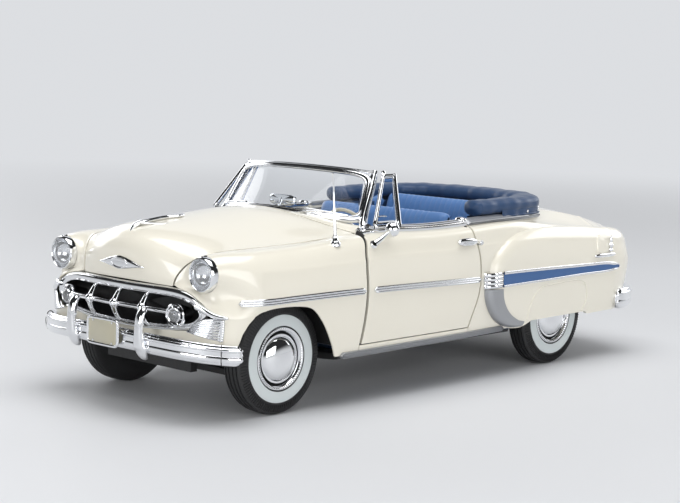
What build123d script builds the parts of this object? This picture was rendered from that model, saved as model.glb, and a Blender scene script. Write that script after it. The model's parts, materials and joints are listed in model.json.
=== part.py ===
from build123d import *
import os
from math import cos, pi, radians, sin, sqrt

# A 1:18 die-cast model of a 1950s convertible car. Millimetres.
# +X points forwards, +Y to the car's left, +Z up. The origin is on the ground at mid-length.
# A place on the body is a share of half the length, half the width or the height, so it moves with
# the body when one of these changes. Walls, gaps, radii and small pieces have sizes of their own.

# Overall sizes
length = 276.0
half_length = length / 2
half_width = 52.7
height = 86.0
front_axle_x = 0.671 * half_length
wheelbase = 1.1761 * half_length
rear_axle_x = front_axle_x - wheelbase

# Casting and fits
wall = 2.0
shut_gap = 0.8
running_gap = 0.05
seat_gap = 0.1
overrun = 6.0
door_thickness = 4.4
lid_thickness = 1.6
trim_height = 0.7
crown_share = 0.35
end_share = 0.85

# Wheels
tyre_radius = 20.3
tyre_width = 9.5
rim_radius = 11.2
front_track_half = 0.759 * half_width
rear_track_half = 0.7704 * half_width
axle_radius = 1.5
kingpin_y = 0.6262 * half_width
kingpin_radius = 1.3

# Body sections from the nose to the tail, as shares of half the length, half the width and the height.
# Columns: station x; centre z; hood or deck edge y, z; fender crest y, z; shoulder y, z;
# waist y, z; sill y, z
BODY_SHARES = [
    (0.949, 0.628, 0.455, 0.593, 0.683, 0.605, 0.797, 0.57, 0.863, 0.442, 0.844, 0.279),
    (0.899, 0.738, 0.569, 0.663, 0.75, 0.669, 0.892, 0.605, 0.92, 0.465, 0.901, 0.256),
    (0.797, 0.779, 0.674, 0.686, 0.816, 0.69, 0.939, 0.609, 0.96, 0.488, 0.945, 0.233),
    (0.616, 0.802, 0.712, 0.693, 0.825, 0.695, 0.953, 0.609, 0.972, 0.488, 0.956, 0.227),
    (0.399, 0.814, 0.75, 0.715, 0.844, 0.721, 0.956, 0.622, 0.973, 0.488, 0.956, 0.227),
    (0.0, 0.814, 0.759, 0.75, 0.873, 0.738, 0.956, 0.628, 0.973, 0.488, 0.956, 0.227),
    (-0.326, 0.802, 0.74, 0.753, 0.844, 0.738, 0.918, 0.651, 0.939, 0.488, 0.93, 0.227),
    (-0.616, 0.762, 0.664, 0.738, 0.797, 0.703, 0.901, 0.628, 0.939, 0.488, 0.93, 0.238),
    (-0.833, 0.692, 0.626, 0.669, 0.778, 0.651, 0.882, 0.605, 0.92, 0.465, 0.892, 0.244),
    (-0.971, 0.605, 0.588, 0.587, 0.721, 0.576, 0.797, 0.535, 0.835, 0.419, 0.797, 0.256),
]

# Body seen from above, one half from the nose to the tail: x, y and the bulge of the edge that follows.
PLAN_SHARES = [
    (0.933, 0.0, 0.02), (0.917, 0.474, 0.05), (0.873, 0.835, 0.16), (0.797, 0.977, 0),
    (0.435, 1.013, 0), (-0.746, 1.006, 0.16), (-0.88, 0.854, 0.1), (-0.957, 0.0, 0),
]

# Side outlines: x, z and the bulge of the edge that follows.
DOOR_SHARES = [
    (0.417, 0.265, -0.03), (0.397, 0.488, -0.03), (0.397, 0.628, 0), (0.375, 0.767, 0),
    (-0.072, 0.767, 0), (-0.069, 0.698, -0.06), (-0.091, 0.57, 0), (-0.091, 0.43, 0.08),
    (-0.041, 0.265, 0),
]
CARD_SHARES = [
    (-0.022, 0.297, 0), (0.348, 0.297, 0), (0.348, 0.654, 0), (-0.042, 0.654, 0), (-0.058, 0.488, 0),
]
BAND_SHARES = [
    (0.391, 0.0, 0.06), (0.312, 0.858, 0), (-0.37, 0.827, 0.18), (-0.496, 0.569, 0.05),
    (-0.525, 0.0, 0),
]
FENDER_STRIP_SHARES = [(0.409, 0.479, 0), (0.855, 0.481, 0.3), (0.855, 0.507, 0), (0.409, 0.505, 0)]
DOOR_STRIP_SHARES = [(-0.086, 0.464, 0), (0.381, 0.479, 0), (0.381, 0.505, 0), (-0.086, 0.49, 0)]
QUARTER_STRIP_SHARES = [(-0.151, 0.462, 0), (-0.101, 0.463, 0), (-0.101, 0.488, 0), (-0.151, 0.487, 0)]
FRONT_BUMPER_SHARES = [
    (0.988, 0.0, 0.01), (0.978, 0.417, 0.05), (0.938, 0.759, 0.1), (0.857, 0.991, 0),
    (0.849, 0.956, -0.1), (0.92, 0.732, -0.05), (0.961, 0.398, -0.01), (0.97, 0.0, 0),
]
REAR_BUMPER_SHARES = [
    (-0.975, 0.0, -0.01), (-0.967, 0.417, -0.05), (-0.923, 0.797, -0.1), (-0.823, 0.994, 0),
    (-0.828, 1.011, 0.1), (-0.939, 0.824, 0.05), (-0.984, 0.436, 0.01), (-0.993, 0.0, 0),
]
FRONT_GUARD_SHARES = [
    (0.965, 0.258, 0), (0.988, 0.258, 0.1), (0.997, 0.314, 0), (0.99, 0.449, 0.2), (0.971, 0.449, 0),
    (0.965, 0.36, 0),
]
REAR_GUARD_SHARES = [
    (-0.972, 0.226, 0), (-0.972, 0.402, 0.2), (-0.99, 0.402, 0), (-1.0, 0.314, 0.05),
    (-0.994, 0.226, 0),
]
TOOTH_SHARES = [
    (0.909, 0.367, 0), (0.924, 0.367, -0.1), (0.958, 0.435, 0.1), (0.958, 0.463, -0.1),
    (0.929, 0.53, 0), (0.909, 0.53, 0),
]
FLOOR_SHARES = [
    (0.406, 0.0, 0), (0.406, 0.884, 0), (-0.319, 0.884, 0), (-0.319, 0.655, 0), (-0.413, 0.655, 0),
    (-0.413, 0.0, 0),
]
CHASSIS_SHARES = [
    (0.855, 0.0, 0), (0.855, 0.436, 0), (0.507, 0.436, 0), (0.478, 0.884, 0), (-0.319, 0.884, 0),
    (-0.348, 0.626, 0), (-0.667, 0.626, 0), (-0.696, 0.759, 0), (-0.87, 0.683, 0), (-0.87, 0.0, 0),
]
FRONT_SEAT_SHARES = [
    (-0.058, 0.229, 0), (0.13, 0.229, 0), (0.145, 0.384, 0.1), (0.116, 0.424, 0.02), (-0.025, 0.395, 0),
    (-0.054, 0.721, 0.1), (-0.069, 0.785, 0.2), (-0.101, 0.773, 0), (-0.094, 0.229, 0),
]
REAR_SEAT_SHARES = [
    (-0.399, 0.229, 0), (-0.217, 0.229, 0), (-0.203, 0.395, 0.1), (-0.225, 0.43, 0.02),
    (-0.33, 0.413, 0), (-0.351, 0.744, 0.1), (-0.366, 0.802, 0.2), (-0.399, 0.791, 0),
]
BOOT_SHARES = [
    (-0.149, 0.0, 0), (-0.149, 0.824, 0), (-0.362, 0.831, 0.14), (-0.493, 0.645, 0.06),
    (-0.565, 0.0, 0),
]
BOOT_INNER_SHARES = [(-0.072, 0.674, 0), (-0.348, 0.674, 0.14), (-0.42, 0.531, 0.04), (-0.442, 0.0, 0)]
DASH_SHARES = [
    (0.319, 0.581, 0), (0.359, 0.581, 0), (0.359, 0.703, 0), (0.33, 0.726, 0.1), (0.293, 0.709, 0.1),
    (0.29, 0.663, 0),
]
ORNAMENT_SHARES = [
    (0.667, 0.698, 0), (0.877, 0.698, 0), (0.884, 0.772, 0.1), (0.862, 0.795, 0), (0.754, 0.798, 0.1),
    (0.667, 0.816, 0),
]
EMBLEM_SHARES = [
    (0.644, 0.0, 0), (0.633, 0.133, 0), (0.619, 0.18, 0), (0.605, 0.133, 0), (0.593, 0.0, 0),
]
PONTOON_SHARES = [
    (-0.275, 0.238, 0.05), (-0.174, 0.314, 0.05), (-0.156, 0.465, 0.05), (-0.225, 0.616, 0.1),
    (-0.377, 0.693, 0.02), (-0.71, 0.679, 0.05), (-0.942, 0.628, 0), (-0.942, 0.244, 0),
]
FRONT_ARCH_SHARES = [
    (0.87, 0.14, 0), (0.859, 0.314, 0.12), (0.787, 0.453, 0.03), (0.62, 0.453, 0.1), (0.547, 0.333, 0),
    (0.516, 0.221, 0), (0.507, 0.14, 0),
]

PONTOON_HOLLOW_SHARES = [
    (-0.333, 0.116, 0), (-0.261, 0.314, 0), (-0.246, 0.581, 0.04), (-0.391, 0.663, 0),
    (-0.696, 0.651, 0), (-0.841, 0.605, 0), (-0.841, 0.116, 0),
]

# Hood, trunk lid and cockpit seen from above, one half: x, y and the bulge of the edge that follows.
HOOD_SHARES = [
    (1.014, 0.465, 0), (0.909, 0.478, -0.04), (0.819, 0.674, 0), (0.601, 0.713, 0),
    (0.37, 0.744, -0.081), (0.464, 0.0, 0),
]
HOOD_GAP_SHARES = [
    (1.014, 0.48, 0), (0.907, 0.493, -0.04), (0.817, 0.689, 0), (0.601, 0.729, 0),
    (0.359, 0.759, -0.081), (0.454, 0.0, 0),
]
TRUNK_SHARES = [
    (-0.572, 0.0, 0), (-0.572, 0.588, 0), (-0.884, 0.588, 0), (-1.014, 0.531, 0), (-1.014, 0.0, 0),
]
COCKPIT_SHARES = [
    (0.377, 0.0, 0.06), (0.304, 0.805, 0), (-0.362, 0.778, 0.18), (-0.478, 0.531, 0.05),
    (-0.507, 0.0, 0),
]

# Grille surround seen from the front, one half: z, y and the bulge of the edge that follows.
GRILLE_SHARES = [
    (0.544, 0.0, 0), (0.54, 0.522, 0.1), (0.459, 0.767, 0.14), (0.388, 0.664, 0.03), (0.356, 0.342, 0),
    (0.351, 0.0, 0),
]
# Windshield seen from the front, one half: z, y and the bulge of the edge that follows.
WINDSHIELD_SHARES = [(0.999, 0.0, 0.02), (0.985, 0.653, 0), (0.74, 0.729, 0.04), (0.786, 0.0, 0.04)]

# Spear insert and its stone guard seen from the side: x, z and the bulge of the edge that follows.
SPEAR_SHARES = [
    (-0.156, 0.426, 0), (-0.156, 0.514, 0), (-0.754, 0.488, 0.03), (-0.793, 0.471, 0.03),
    (-0.754, 0.451, 0),
]
INSERT_SHARES = [
    (-0.21, 0.441, 0), (-0.21, 0.499, 0), (-0.739, 0.48, 0.03), (-0.775, 0.47, 0.03), (-0.739, 0.46, 0),
]
GUARD_SHARES = [
    (-0.293, 0.243, 0.06), (-0.221, 0.308, 0.06), (-0.197, 0.426, 0), (-0.155, 0.426, 0),
    (-0.158, 0.308, -0.05), (-0.217, 0.238, 0),
]

# Hinges
door_pivot_x = 0.3906 * half_length
door_pivot_y = 0.9355 * half_width
door_pin_radius = 0.7
door_pin_length = 2.6
door_sweep_radius = 2.75

# Windshield sheet, low and high stations
screen_low_z = 0.6977 * height
screen_low_x = 0.471 * half_length
screen_low_bow = 25.4
screen_high_z = 1.0233 * height
screen_high_x = 0.2674 * half_length
screen_high_bow = 6.6
screen_half_width = 0.797 * half_width
screen_frame = 2.0
screen_depth = 2.4
glass_depth = 1.0

# Pontoons and headlights
pontoon_inner_y = 0.8159 * half_width
pontoon_outer_y = half_width
pontoon_hollow_y = 0.7875 * half_width
pontoon_crown_z = 0.5465 * height
pontoon_crown_radius = 5.0
lamp_y = 0.7306 * half_width
lamp_z = 0.6081 * height
lens_radius = 5.3
lamp_rim_radius = 6.05
pod_radius = 6.4
pod_rear_x = 0.7826 * half_length
pod_front_x = 0.887 * half_length
pod_recess_depth = 1.6

# Openings
arch_inner_y = 0.6831 * half_width
cockpit_half_width = 0.7894 * half_width
hood_low_z = 0.5488 * height
trunk_low_z = 0.407 * height
grille_back_x = 0.8116 * half_length
card_thickness = 1.0
door_low_z = 0.2651 * height

# Floor, seats and cockpit
floor_z = 0.2151 * height
floor_thickness = 1.2
chassis_z = 0.1512 * height
chassis_thickness = 2.0
rear_cabin_half_width = 0.778 * half_width
belt_z = 0.7349 * height
band_low_z = 0.6512 * height
moulding_height = 1.6
band_inner_y = 0.7704 * half_width
band_split_x = 0.2899 * half_length
toe_board_x = 0.3623 * half_length
cabin_rear_x = -0.413 * half_length

# Small trim
handle_front_x = 0.0087 * half_length
handle_rear_x = -0.0768 * half_length
handle_y = 0.9602 * half_width
handle_z = 0.6512 * height
handle_radius = 0.8
handle_reach = 1.6
insert_height = 0.5
rocker_rear_x = -0.237 * half_length
rocker_front_x = 0.4964 * half_length
rocker_y = 0.9677 * half_width
rocker_width = 2.2
rocker_low_z = 0.2047 * height
rocker_high_z = 0.2256 * height
vent_foot_y = 0.8349 * half_width
vent_foot_z = 0.7581 * height
vent_lean = radians(22)
vent_front_low_x = 0.321 * half_length
vent_front_high_x = 0.2341 * half_length
vent_rear_high_x = 0.1884 * half_length
vent_rear_low_x = 0.2232 * half_length
vent_rise = 19.8
vent_bar = 1.3
vent_depth = 1.6

# Grille and lamps
grille_proud = 1.0
grille_rim = 2.2
bar_z = 0.4488 * height
bar_half_height = 0.8
bar_half_width = 0.6831 * half_width
bar_reach = 2.6
bar_depth = 1.8
tooth_pitch = 0.2713 * half_width
tooth_width = 2.4
tooth_ball_x = 0.9565 * half_length
tooth_ball_radius = 1.7
park_y = 0.5541 * half_width
park_z = 0.4372 * height
park_radius = 4.1
park_lens_radius = 3.0
park_rear_x = 0.8841 * half_length
park_front_x = 0.9449 * half_length
lens_seat = 1.2
lamp_rim_depth = 3.6
lens_rise = 1.3
tail_y = 0.8349 * half_width
tail_z = 0.5465 * height
tail_front_x = -0.8732 * half_length
tail_rear_x = -0.9167 * half_length
tail_radius = 4.0
tail_lens_radius = 3.4
tail_lens_depth = 1.2

# Bumpers and plates
front_bumper_low_z = 0.2674 * height
front_bumper_high_z = 0.3605 * height
rear_bumper_low_z = 0.2372 * height
rear_bumper_high_z = 0.3535 * height
front_guard_y = 0.3548 * half_width
rear_guard_y = 0.37 * half_width
guard_width = 3.6
iron_width = 3.0
iron_height = 2.2
iron_z = 0.1977 * height
iron_front_x = 0.971 * half_length
iron_rear_x = -0.9754 * half_length
plate_depth = 0.8
plate_half_width = 8.4
plate_low_z = 0.2791 * height
plate_high_z = 0.3919 * height

# Floor, bay and chassis
toe_board_z = 0.5814 * height
toe_board_half_width = 0.8349 * half_width
rear_panel_z = 0.6744 * height
quarter_front_x = -0.1159 * half_length
quarter_rear_x = -0.3333 * half_length
wheel_house_y = 0.6546 * half_width
tunnel_front_x = 0.3623 * half_length
tunnel_rear_x = -0.2899 * half_length
tunnel_z = 0.186 * height
tunnel_radius = 6.5
chassis_front_x = 0.85 * half_length
chassis_rear_x = -0.865 * half_length
rail_front_x = 0.6232 * half_length
rail_rear_x = -0.8261 * half_length
rail_y = 0.4 * half_width
rail_width = 4.0
rail_drop = 2.0
screw_x = 0.2899 * half_length
screw_boss_radius = 3.0
screw_radius = 1.25
rest_half_y = 0.8349 * half_width
rest_rear_x = -0.2899 * half_length
rest_front_x = 0.3986 * half_length
bay_rear_x = 0.4203 * half_length
bay_front_x = 0.8188 * half_length
bay_half_width = 0.4364 * half_width
bay_z = 0.6279 * height
firewall_half_width = 0.759 * half_width
firewall_z = 0.6512 * height
radiator_depth = 3.0
engine_rear_x = 0.4783 * half_length
engine_front_x = 0.7536 * half_length
engine_half_width = 7.0
engine_z = 0.5581 * height
cleaner_x = 0.6232 * half_length
cleaner_y = 4.0
cleaner_radius = 8.0
cleaner_height = 5.0
exhaust_y = 0.2087 * half_width
exhaust_z = 0.1233 * height
exhaust_radius = 1.3
exhaust_front_x = 0.4348 * half_length
exhaust_rear_x = -0.8551 * half_length
muffler_front_x = 0.1449 * half_length
muffler_rear_x = -0.1812 * half_length
muffler_radius = 2.3

# Running gear
arm_half = 2.4
arm_thickness = 2.2
fork_y = 0.5503 * half_width
knuckle_half = 2.4
axle_reach = 2.0
housing_half = 0.5313 * half_width
housing_radius = 2.6
differential_radius = 5.2
spring_y = 0.4744 * half_width
spring_half = 1.6
spring_front_x = -0.4203 * half_length
spring_rear_x = -0.5942 * half_length
bead_half = 4.0
shoulder_radius = 17.6
shoulder_half = tyre_width / 2
tread_half = 3.4
hub_reach = 3.0
hub_radius = 3.0
disc_y = 0.5
rim_wall = 1.0
ring_radius = 10.2
ring_y = 4.5
cap_radius = 8.6
cap_y = 6.0
cap_fall = 0.9
cap_share = 0.5

# Cabin fittings
seat_half_width = 0.6641 * half_width
rear_seat_half_width = 0.5882 * half_width
boot_low_z = 0.7209 * height
boot_high_z = 0.8279 * height
dash_half_width = 0.7306 * half_width
column_x = 0.3333 * half_length
column_y = 0.3416 * half_width
column_z = 0.5814 * height
column_rake = radians(24)
column_length = 16.0
column_radius = 1.7
shaft_reach = 2.5
shaft_depth = 6.0
shaft_radius = 0.8
steering_wheel_radius = 12.0
steering_grip_radius = 0.7
steering_hub_radius = 2.2
spoke_width = 1.6
spoke_thickness = 0.8
mirror_x = 0.3406 * half_length
mirror_depth = 1.2
mirror_half_width = 5.0
mirror_low_z = 0.8256 * height
mirror_high_z = 0.8558 * height
mirror_foot_x = 0.337 * half_length
mirror_foot_z = 0.7093 * height
mirror_stalk_radius = 0.6
antenna_x = 0.4565 * half_length
antenna_y = 0.797 * half_width
antenna_low_z = 0.686 * height
antenna_high_z = 0.9988 * height
antenna_lean = 1.5
antenna_radius = 0.45
door_mirror_x = 0.2899 * half_length
door_mirror_y = 0.9488 * half_width
door_mirror_z = 0.7453 * height
door_mirror_radius = 3.0
door_mirror_foot_x = 0.3551 * half_length
door_mirror_foot_y = 0.9222 * half_width
door_mirror_foot_z = 0.686 * height
ornament_half_width = 1.2
trunk_handle_x = -0.7971 * half_length
trunk_handle_half = 6.0
trunk_handle_low_z = 0.4651 * height
trunk_handle_high_z = 0.4884 * height
trunk_handle_depth = 1.0


def along_side(x_share, z_share):
    return Vector(half_length * x_share, 0, height * z_share)


def from_above(x_share, y_share):
    return Vector(half_length * x_share, half_width * y_share, 0)


def from_front(z_share, y_share):
    return Vector(0, half_width * y_share, height * z_share)


def outline(rows, place, facing):
    """A closed face from rows of two shares and a bulge, the arc's rise over its chord, outwards."""
    edges = []
    for row, following in zip(rows, rows[1:] + rows[:1]):
        start, end = place(*row[:2]), place(*following[:2])
        if row[2] == 0:
            edges.append(Line(start, end))
        else:
            rise = (end - start).cross(Vector(*facing)) * row[2]
            edges.append(ThreePointArc(start, (start + end) / 2 + rise, end))
    return Face(Wire(edges))


def both_halves(rows):
    """The whole outline from one half, whose second column is the distance from the centre line."""
    if rows[-1][1] == 0:
        rows = rows[:-1] + [(rows[-1][0], 0, rows[-2][2])]
    other = [(along, -across, rows[i - 1][2]) for i, (along, across, _) in enumerate(rows)]
    return rows + [row for row in other[::-1] if row[1] != 0]


def widened(face, gap):
    """The same face with a gap added all round, or taken off where the gap is negative."""
    return face if gap == 0 else offset(face, gap)


def side_prism(rows, low_y, high_y, gap=0):
    """An outline seen from the side, widened by a gap and run across the car."""
    face = widened(outline(rows, along_side, (0, -1, 0)), gap)
    return extrude(Pos(0, low_y, 0) * face, high_y - low_y, (0, 1, 0))


def plan_prism(rows, low_z, high_z, gap=0):
    """A half outline seen from above and its mirror, widened by a gap and run upwards."""
    face = widened(outline(both_halves(rows), from_above, (0, 0, 1)), gap)
    return extrude(Pos(0, 0, low_z) * face, high_z - low_z, (0, 0, 1))


def front_prism(rows, low_x, high_x):
    """A half outline seen from the front and its mirror, run forwards."""
    face = outline(both_halves(rows), from_front, (-1, 0, 0))
    return extrude(Pos(low_x, 0, 0) * face, high_x - low_x, (1, 0, 0))


def block(low_x, high_x, low_y, high_y, low_z, high_z):
    """A straight block between two corners."""
    size = (high_x - low_x, high_y - low_y, high_z - low_z)
    return Pos(low_x, low_y, low_z) * Box(*size, align=Align.MIN)


def rod(start, end, radius):
    """A round bar from one point to another."""
    start, end = Vector(*start), Vector(*end)
    way = Plane(origin=start, z_dir=end - start)
    return way * Cylinder(radius, (end - start).length, align=(Align.CENTER, Align.CENTER, Align.MIN))


def mirror_y(solid):
    return mirror(solid, Plane.XZ)


def both_sides(solid):
    return solid + mirror_y(solid)


def body_section(row, inset, drop):
    """One closed cross-section of the body, drawn inwards by inset and down by drop at the sill."""
    (x_share, centre_z, hood_y, hood_z, crest_y, crest_z,
     shoulder_y, shoulder_z, waist_y, waist_z, sill_y, sill_z) = row
    x = half_length * x_share
    hood = (half_width * hood_y, height * hood_z - inset)
    crest = (half_width * crest_y - inset / 2, height * crest_z - inset)
    shoulder = (half_width * shoulder_y - inset, height * shoulder_z - inset / 2)
    waist = (half_width * waist_y - inset, height * waist_z)
    sill = (half_width * sill_y - inset, height * sill_z - drop)
    across, up = shoulder[0] - crest[0], shoulder[1] - crest[1]
    turn = ((shoulder[0] + crest[0] - up * crown_share) / 2,
            (shoulder[1] + crest[1] + across * crown_share) / 2)

    def spot(point, side):
        return Vector(x, side * point[0], point[1])

    edges = [Line(spot(sill, -1), spot(sill, 1)),
             ThreePointArc(spot(sill, 1), spot(waist, 1), spot(shoulder, 1)),
             ThreePointArc(spot(shoulder, 1), spot(turn, 1), spot(crest, 1)),
             Line(spot(crest, 1), spot(hood, 1)),
             ThreePointArc(spot(hood, 1), Vector(x, 0, height * centre_z - inset), spot(hood, -1)),
             Line(spot(hood, -1), spot(crest, -1)),
             ThreePointArc(spot(crest, -1), spot(turn, -1), spot(shoulder, -1)),
             ThreePointArc(spot(shoulder, -1), spot(waist, -1), spot(sill, -1))]
    return Face(Wire(edges))


def envelope(inset):
    """The body's outer form, or one drawn in or out that runs on below the sill."""
    drop = 0 if inset == 0 else overrun + inset
    return loft([body_section(row, inset, drop) for row in BODY_SHARES])


def plan_form(inset):
    """The body's plan, full height, drawn inwards by inset."""
    x_inset, y_inset = inset / half_length, inset / half_width
    rows = []
    for x, y, bulge in PLAN_SHARES:
        end = 1 if abs(x) > end_share else 0
        rows.append((x - x_inset * end * (1 if x > 0 else -1), y - y_inset * (1 if y > 0 else 0),
                     bulge))
    return plan_prism(rows, 0, height)


def form(inset):
    """The body's form without the pontoons, drawn inwards by inset."""
    return envelope(inset) & plan_form(inset)


def screen_sector(x, bow, z, back, depth):
    """A thin bowed strip of the windshield's sheet at one height."""
    half = screen_half_width
    front = ThreePointArc((x - bow - back, -half, z), (x - back, 0, z), (x - bow - back, half, z))
    rear = ThreePointArc((x - bow - back - depth, half, z), (x - back - depth, 0, z),
                         (x - bow - back - depth, -half, z))
    return Face(Wire([front, Line(front @ 1, rear @ 0), rear, Line(rear @ 1, front @ 0)]))


def screen_sheet(back, depth):
    """The raked and bowed sheet that the windshield's frame and glass are cut from."""
    return loft([screen_sector(screen_low_x, screen_low_bow, screen_low_z, back, depth),
                 screen_sector(screen_high_x, screen_high_bow, screen_high_z, back, depth)])


def inset_front_prism(rows, inset, low_x, high_x):
    """A front outline drawn inwards, for the opening inside a frame."""
    face = offset(outline(both_halves(rows), from_front, (-1, 0, 0)), -inset)
    return extrude(Pos(low_x, 0, 0) * face, high_x - low_x, (1, 0, 0))


def wheel_profile(points, y):
    """A turned piece about the axle line from rows of radius, offset and the bulge of the edge."""
    corners = [Vector(radius, offset_y, 0) for radius, offset_y, _ in points]
    edges = []
    for start, end, (_, _, bulge) in zip(corners, corners[1:] + corners[:1], points):
        if bulge == 0:
            edges.append(Line(start, end))
        else:
            edges.append(ThreePointArc(start,
                                       (start + end) / 2 + (end
                                                            - start).cross(Vector(0, 0,
                                                                                  1)) * bulge, end))
    return Pos(0, y, 0) * revolve(Face(Wire(edges)), Axis.Y)


def domed_disc(depth, radius, rise):
    """A disc facing forwards from the origin, with a domed front."""
    rim, crown = Vector(depth, radius, 0), Vector(depth + rise, 0, 0)
    bow_radius = (radius ** 2 + rise ** 2) / (2 * rise)
    dome = RadiusArc(rim, crown, bow_radius)
    edges = [Line((0, 0, 0), (0, radius, 0)), Line((0, radius, 0), rim), dome, Line(crown, (0, 0, 0))]
    return revolve(Face(Wire(edges)), Axis.X)


def write(name, solid):
    export_step(solid, f"parts/{name}.step")


os.makedirs("parts", exist_ok=True)

# Body forms, each the outer form drawn in or out
outer_form = form(0)
inner_form = form(wall)
lid_form = form(lid_thickness)
door_form = form(door_thickness)
card_form = form(door_thickness + card_thickness)
trim_form = form(-trim_height)
moulding_form = form(-moulding_height)

# Rear fender pontoons: crowned over the top, hollow over the wheel
pontoon = side_prism(PONTOON_SHARES, pontoon_inner_y, pontoon_outer_y)
outer_edges = pontoon.faces().sort_by(Axis.Y)[-1].edges()
crown_edges = outer_edges.filter_by(lambda edge: edge.center().Z > pontoon_crown_z)
pontoon = fillet(crown_edges, pontoon_crown_radius) & plan_form(0)
pontoon_hollow = side_prism(PONTOON_HOLLOW_SHARES, pontoon_hollow_y, pontoon_outer_y - wall)

# Headlight pods on the fender fronts
pod = rod((pod_rear_x, lamp_y, lamp_z), (pod_front_x, lamp_y, lamp_z), pod_radius)
lamp_well = rod((pod_front_x, lamp_y, lamp_z), (half_length, lamp_y, lamp_z),
                lamp_rim_radius + seat_gap)
pod_recess = rod((pod_front_x - pod_recess_depth, lamp_y, lamp_z), (half_length, lamp_y, lamp_z),
                 lens_radius)

door_opening = side_prism(DOOR_SHARES, cockpit_half_width, half_width + overrun, shut_gap)
door_sweep = rod((door_pivot_x, door_pivot_y, door_low_z), (door_pivot_x, door_pivot_y, belt_z),
                 door_sweep_radius)
front_arch = side_prism(FRONT_ARCH_SHARES, arch_inner_y, half_width + overrun)
hinge_socket = rod((door_pivot_x, door_pivot_y, 0), (door_pivot_x, door_pivot_y, door_low_z + shut_gap),
                   door_pin_radius + running_gap)
hood_opening = plan_prism(HOOD_GAP_SHARES, hood_low_z - shut_gap, height)
trunk_opening = plan_prism(TRUNK_SHARES, trunk_low_z - shut_gap, height, shut_gap)
cockpit_opening = plan_prism(COCKPIT_SHARES, floor_z, height)
grille_opening = front_prism(GRILLE_SHARES, grille_back_x, half_length)

body = outer_form - inner_form
body += both_sides(pontoon - inner_form)
body -= both_sides(pontoon_hollow)
body += both_sides(pod)
for cut in (hood_opening, trunk_opening, cockpit_opening, grille_opening):
    body -= cut
for cut in (door_opening, door_sweep, front_arch, pod_recess, lamp_well, hinge_socket):
    body -= both_sides(cut)
write("body_shell", body)

# Hood and trunk lid: thin shells cut from the same form
hood = (outer_form - lid_form) & plan_prism(HOOD_SHARES, hood_low_z, height)
write("hood", hood)
lid = (outer_form - lid_form) & plan_prism(TRUNK_SHARES, trunk_low_z, height)
write("trunk_lid", lid)

# Doors, with the trim card inside and a hinge pin below
door_prism = side_prism(DOOR_SHARES, cockpit_half_width + shut_gap, half_width + overrun)
door_pin = rod((door_pivot_x, door_pivot_y, door_low_z - door_pin_length),
               (door_pivot_x, door_pivot_y, door_low_z + door_pin_length), door_pin_radius)
door = (outer_form - door_form) & door_prism
door += door_pin
card_prism = side_prism(CARD_SHARES, cockpit_half_width + shut_gap, half_width + overrun)
card = (door_form - card_form) & card_prism
for side, place in (("left", lambda solid: solid), ("right", mirror_y)):
    write(f"door_{side}", place(door))
    write(f"door_card_{side}", place(card))

# Belt moulding round the cockpit, shared between the doors and the body
band = plan_prism(BAND_SHARES, band_low_z, height) - plan_prism(COCKPIT_SHARES, band_low_z, height)
band = band & (moulding_form - outer_form)
door_reach = block(-half_length, band_split_x, band_inner_y, half_width, band_low_z, height)
gap_reach = block(-half_length, band_split_x + shut_gap, band_inner_y - shut_gap, half_width, band_low_z,
                  height)
door_band = band & side_prism(DOOR_SHARES, band_inner_y, half_width) & door_reach
body_band = band - both_sides(side_prism(DOOR_SHARES, cockpit_half_width + shut_gap,
                                         half_width + overrun, shut_gap))
body_band -= both_sides(side_prism(DOOR_SHARES, 0, half_width, shut_gap) & gap_reach)
write("cockpit_moulding", body_band)

# Side strips at the waist, cut from a skin just outside the body
trim_skin = trim_form - outer_form
front_strip = side_prism(FENDER_STRIP_SHARES, arch_inner_y, half_width + overrun) & trim_skin
rear_strip = side_prism(QUARTER_STRIP_SHARES, arch_inner_y, half_width + overrun) & trim_skin
door_strip = side_prism(DOOR_STRIP_SHARES, arch_inner_y, half_width + overrun) & trim_skin
write("side_strips", both_sides(front_strip + rear_strip))

handle = rod((handle_front_x, handle_y, handle_z), (handle_rear_x, handle_y, handle_z), handle_radius)
for post_x in (handle_front_x, handle_rear_x):
    handle += rod((post_x, handle_y - handle_reach, handle_z), (post_x, handle_y, handle_z),
                  handle_radius)
door_trim = door_strip + door_band + (handle - outer_form)
write("door_trim_left", door_trim)
write("door_trim_right", mirror_y(door_trim))

# Spear, insert and stone guard on the pontoon
spear = side_prism(SPEAR_SHARES, pontoon_outer_y, pontoon_outer_y + trim_height)
insert_hole = side_prism(INSERT_SHARES, pontoon_outer_y, pontoon_outer_y + trim_height)
insert = side_prism(INSERT_SHARES, pontoon_outer_y, pontoon_outer_y + insert_height)
guard = side_prism(GUARD_SHARES, pontoon_outer_y, pontoon_outer_y + trim_height)
write("spear_frames", both_sides(spear - insert_hole))
write("spear_inserts", both_sides(insert))
write("stone_guards", both_sides(guard))
rocker = block(rocker_rear_x, rocker_front_x, rocker_y - rocker_width, rocker_y, rocker_low_z,
               rocker_high_z)
write("rocker_mouldings", both_sides(rocker))

# Windshield
frame_outline = front_prism(WINDSHIELD_SHARES, 0, half_length)
frame_hole = inset_front_prism(WINDSHIELD_SHARES, screen_frame, 0, half_length)
frame = (screen_sheet(0, screen_depth) & frame_outline) - frame_hole
glass = screen_sheet((screen_depth - glass_depth) / 2, glass_depth) & frame_hole
write("windshield_frame", frame - moulding_form)
write("windshield_glass", glass - moulding_form)

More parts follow.
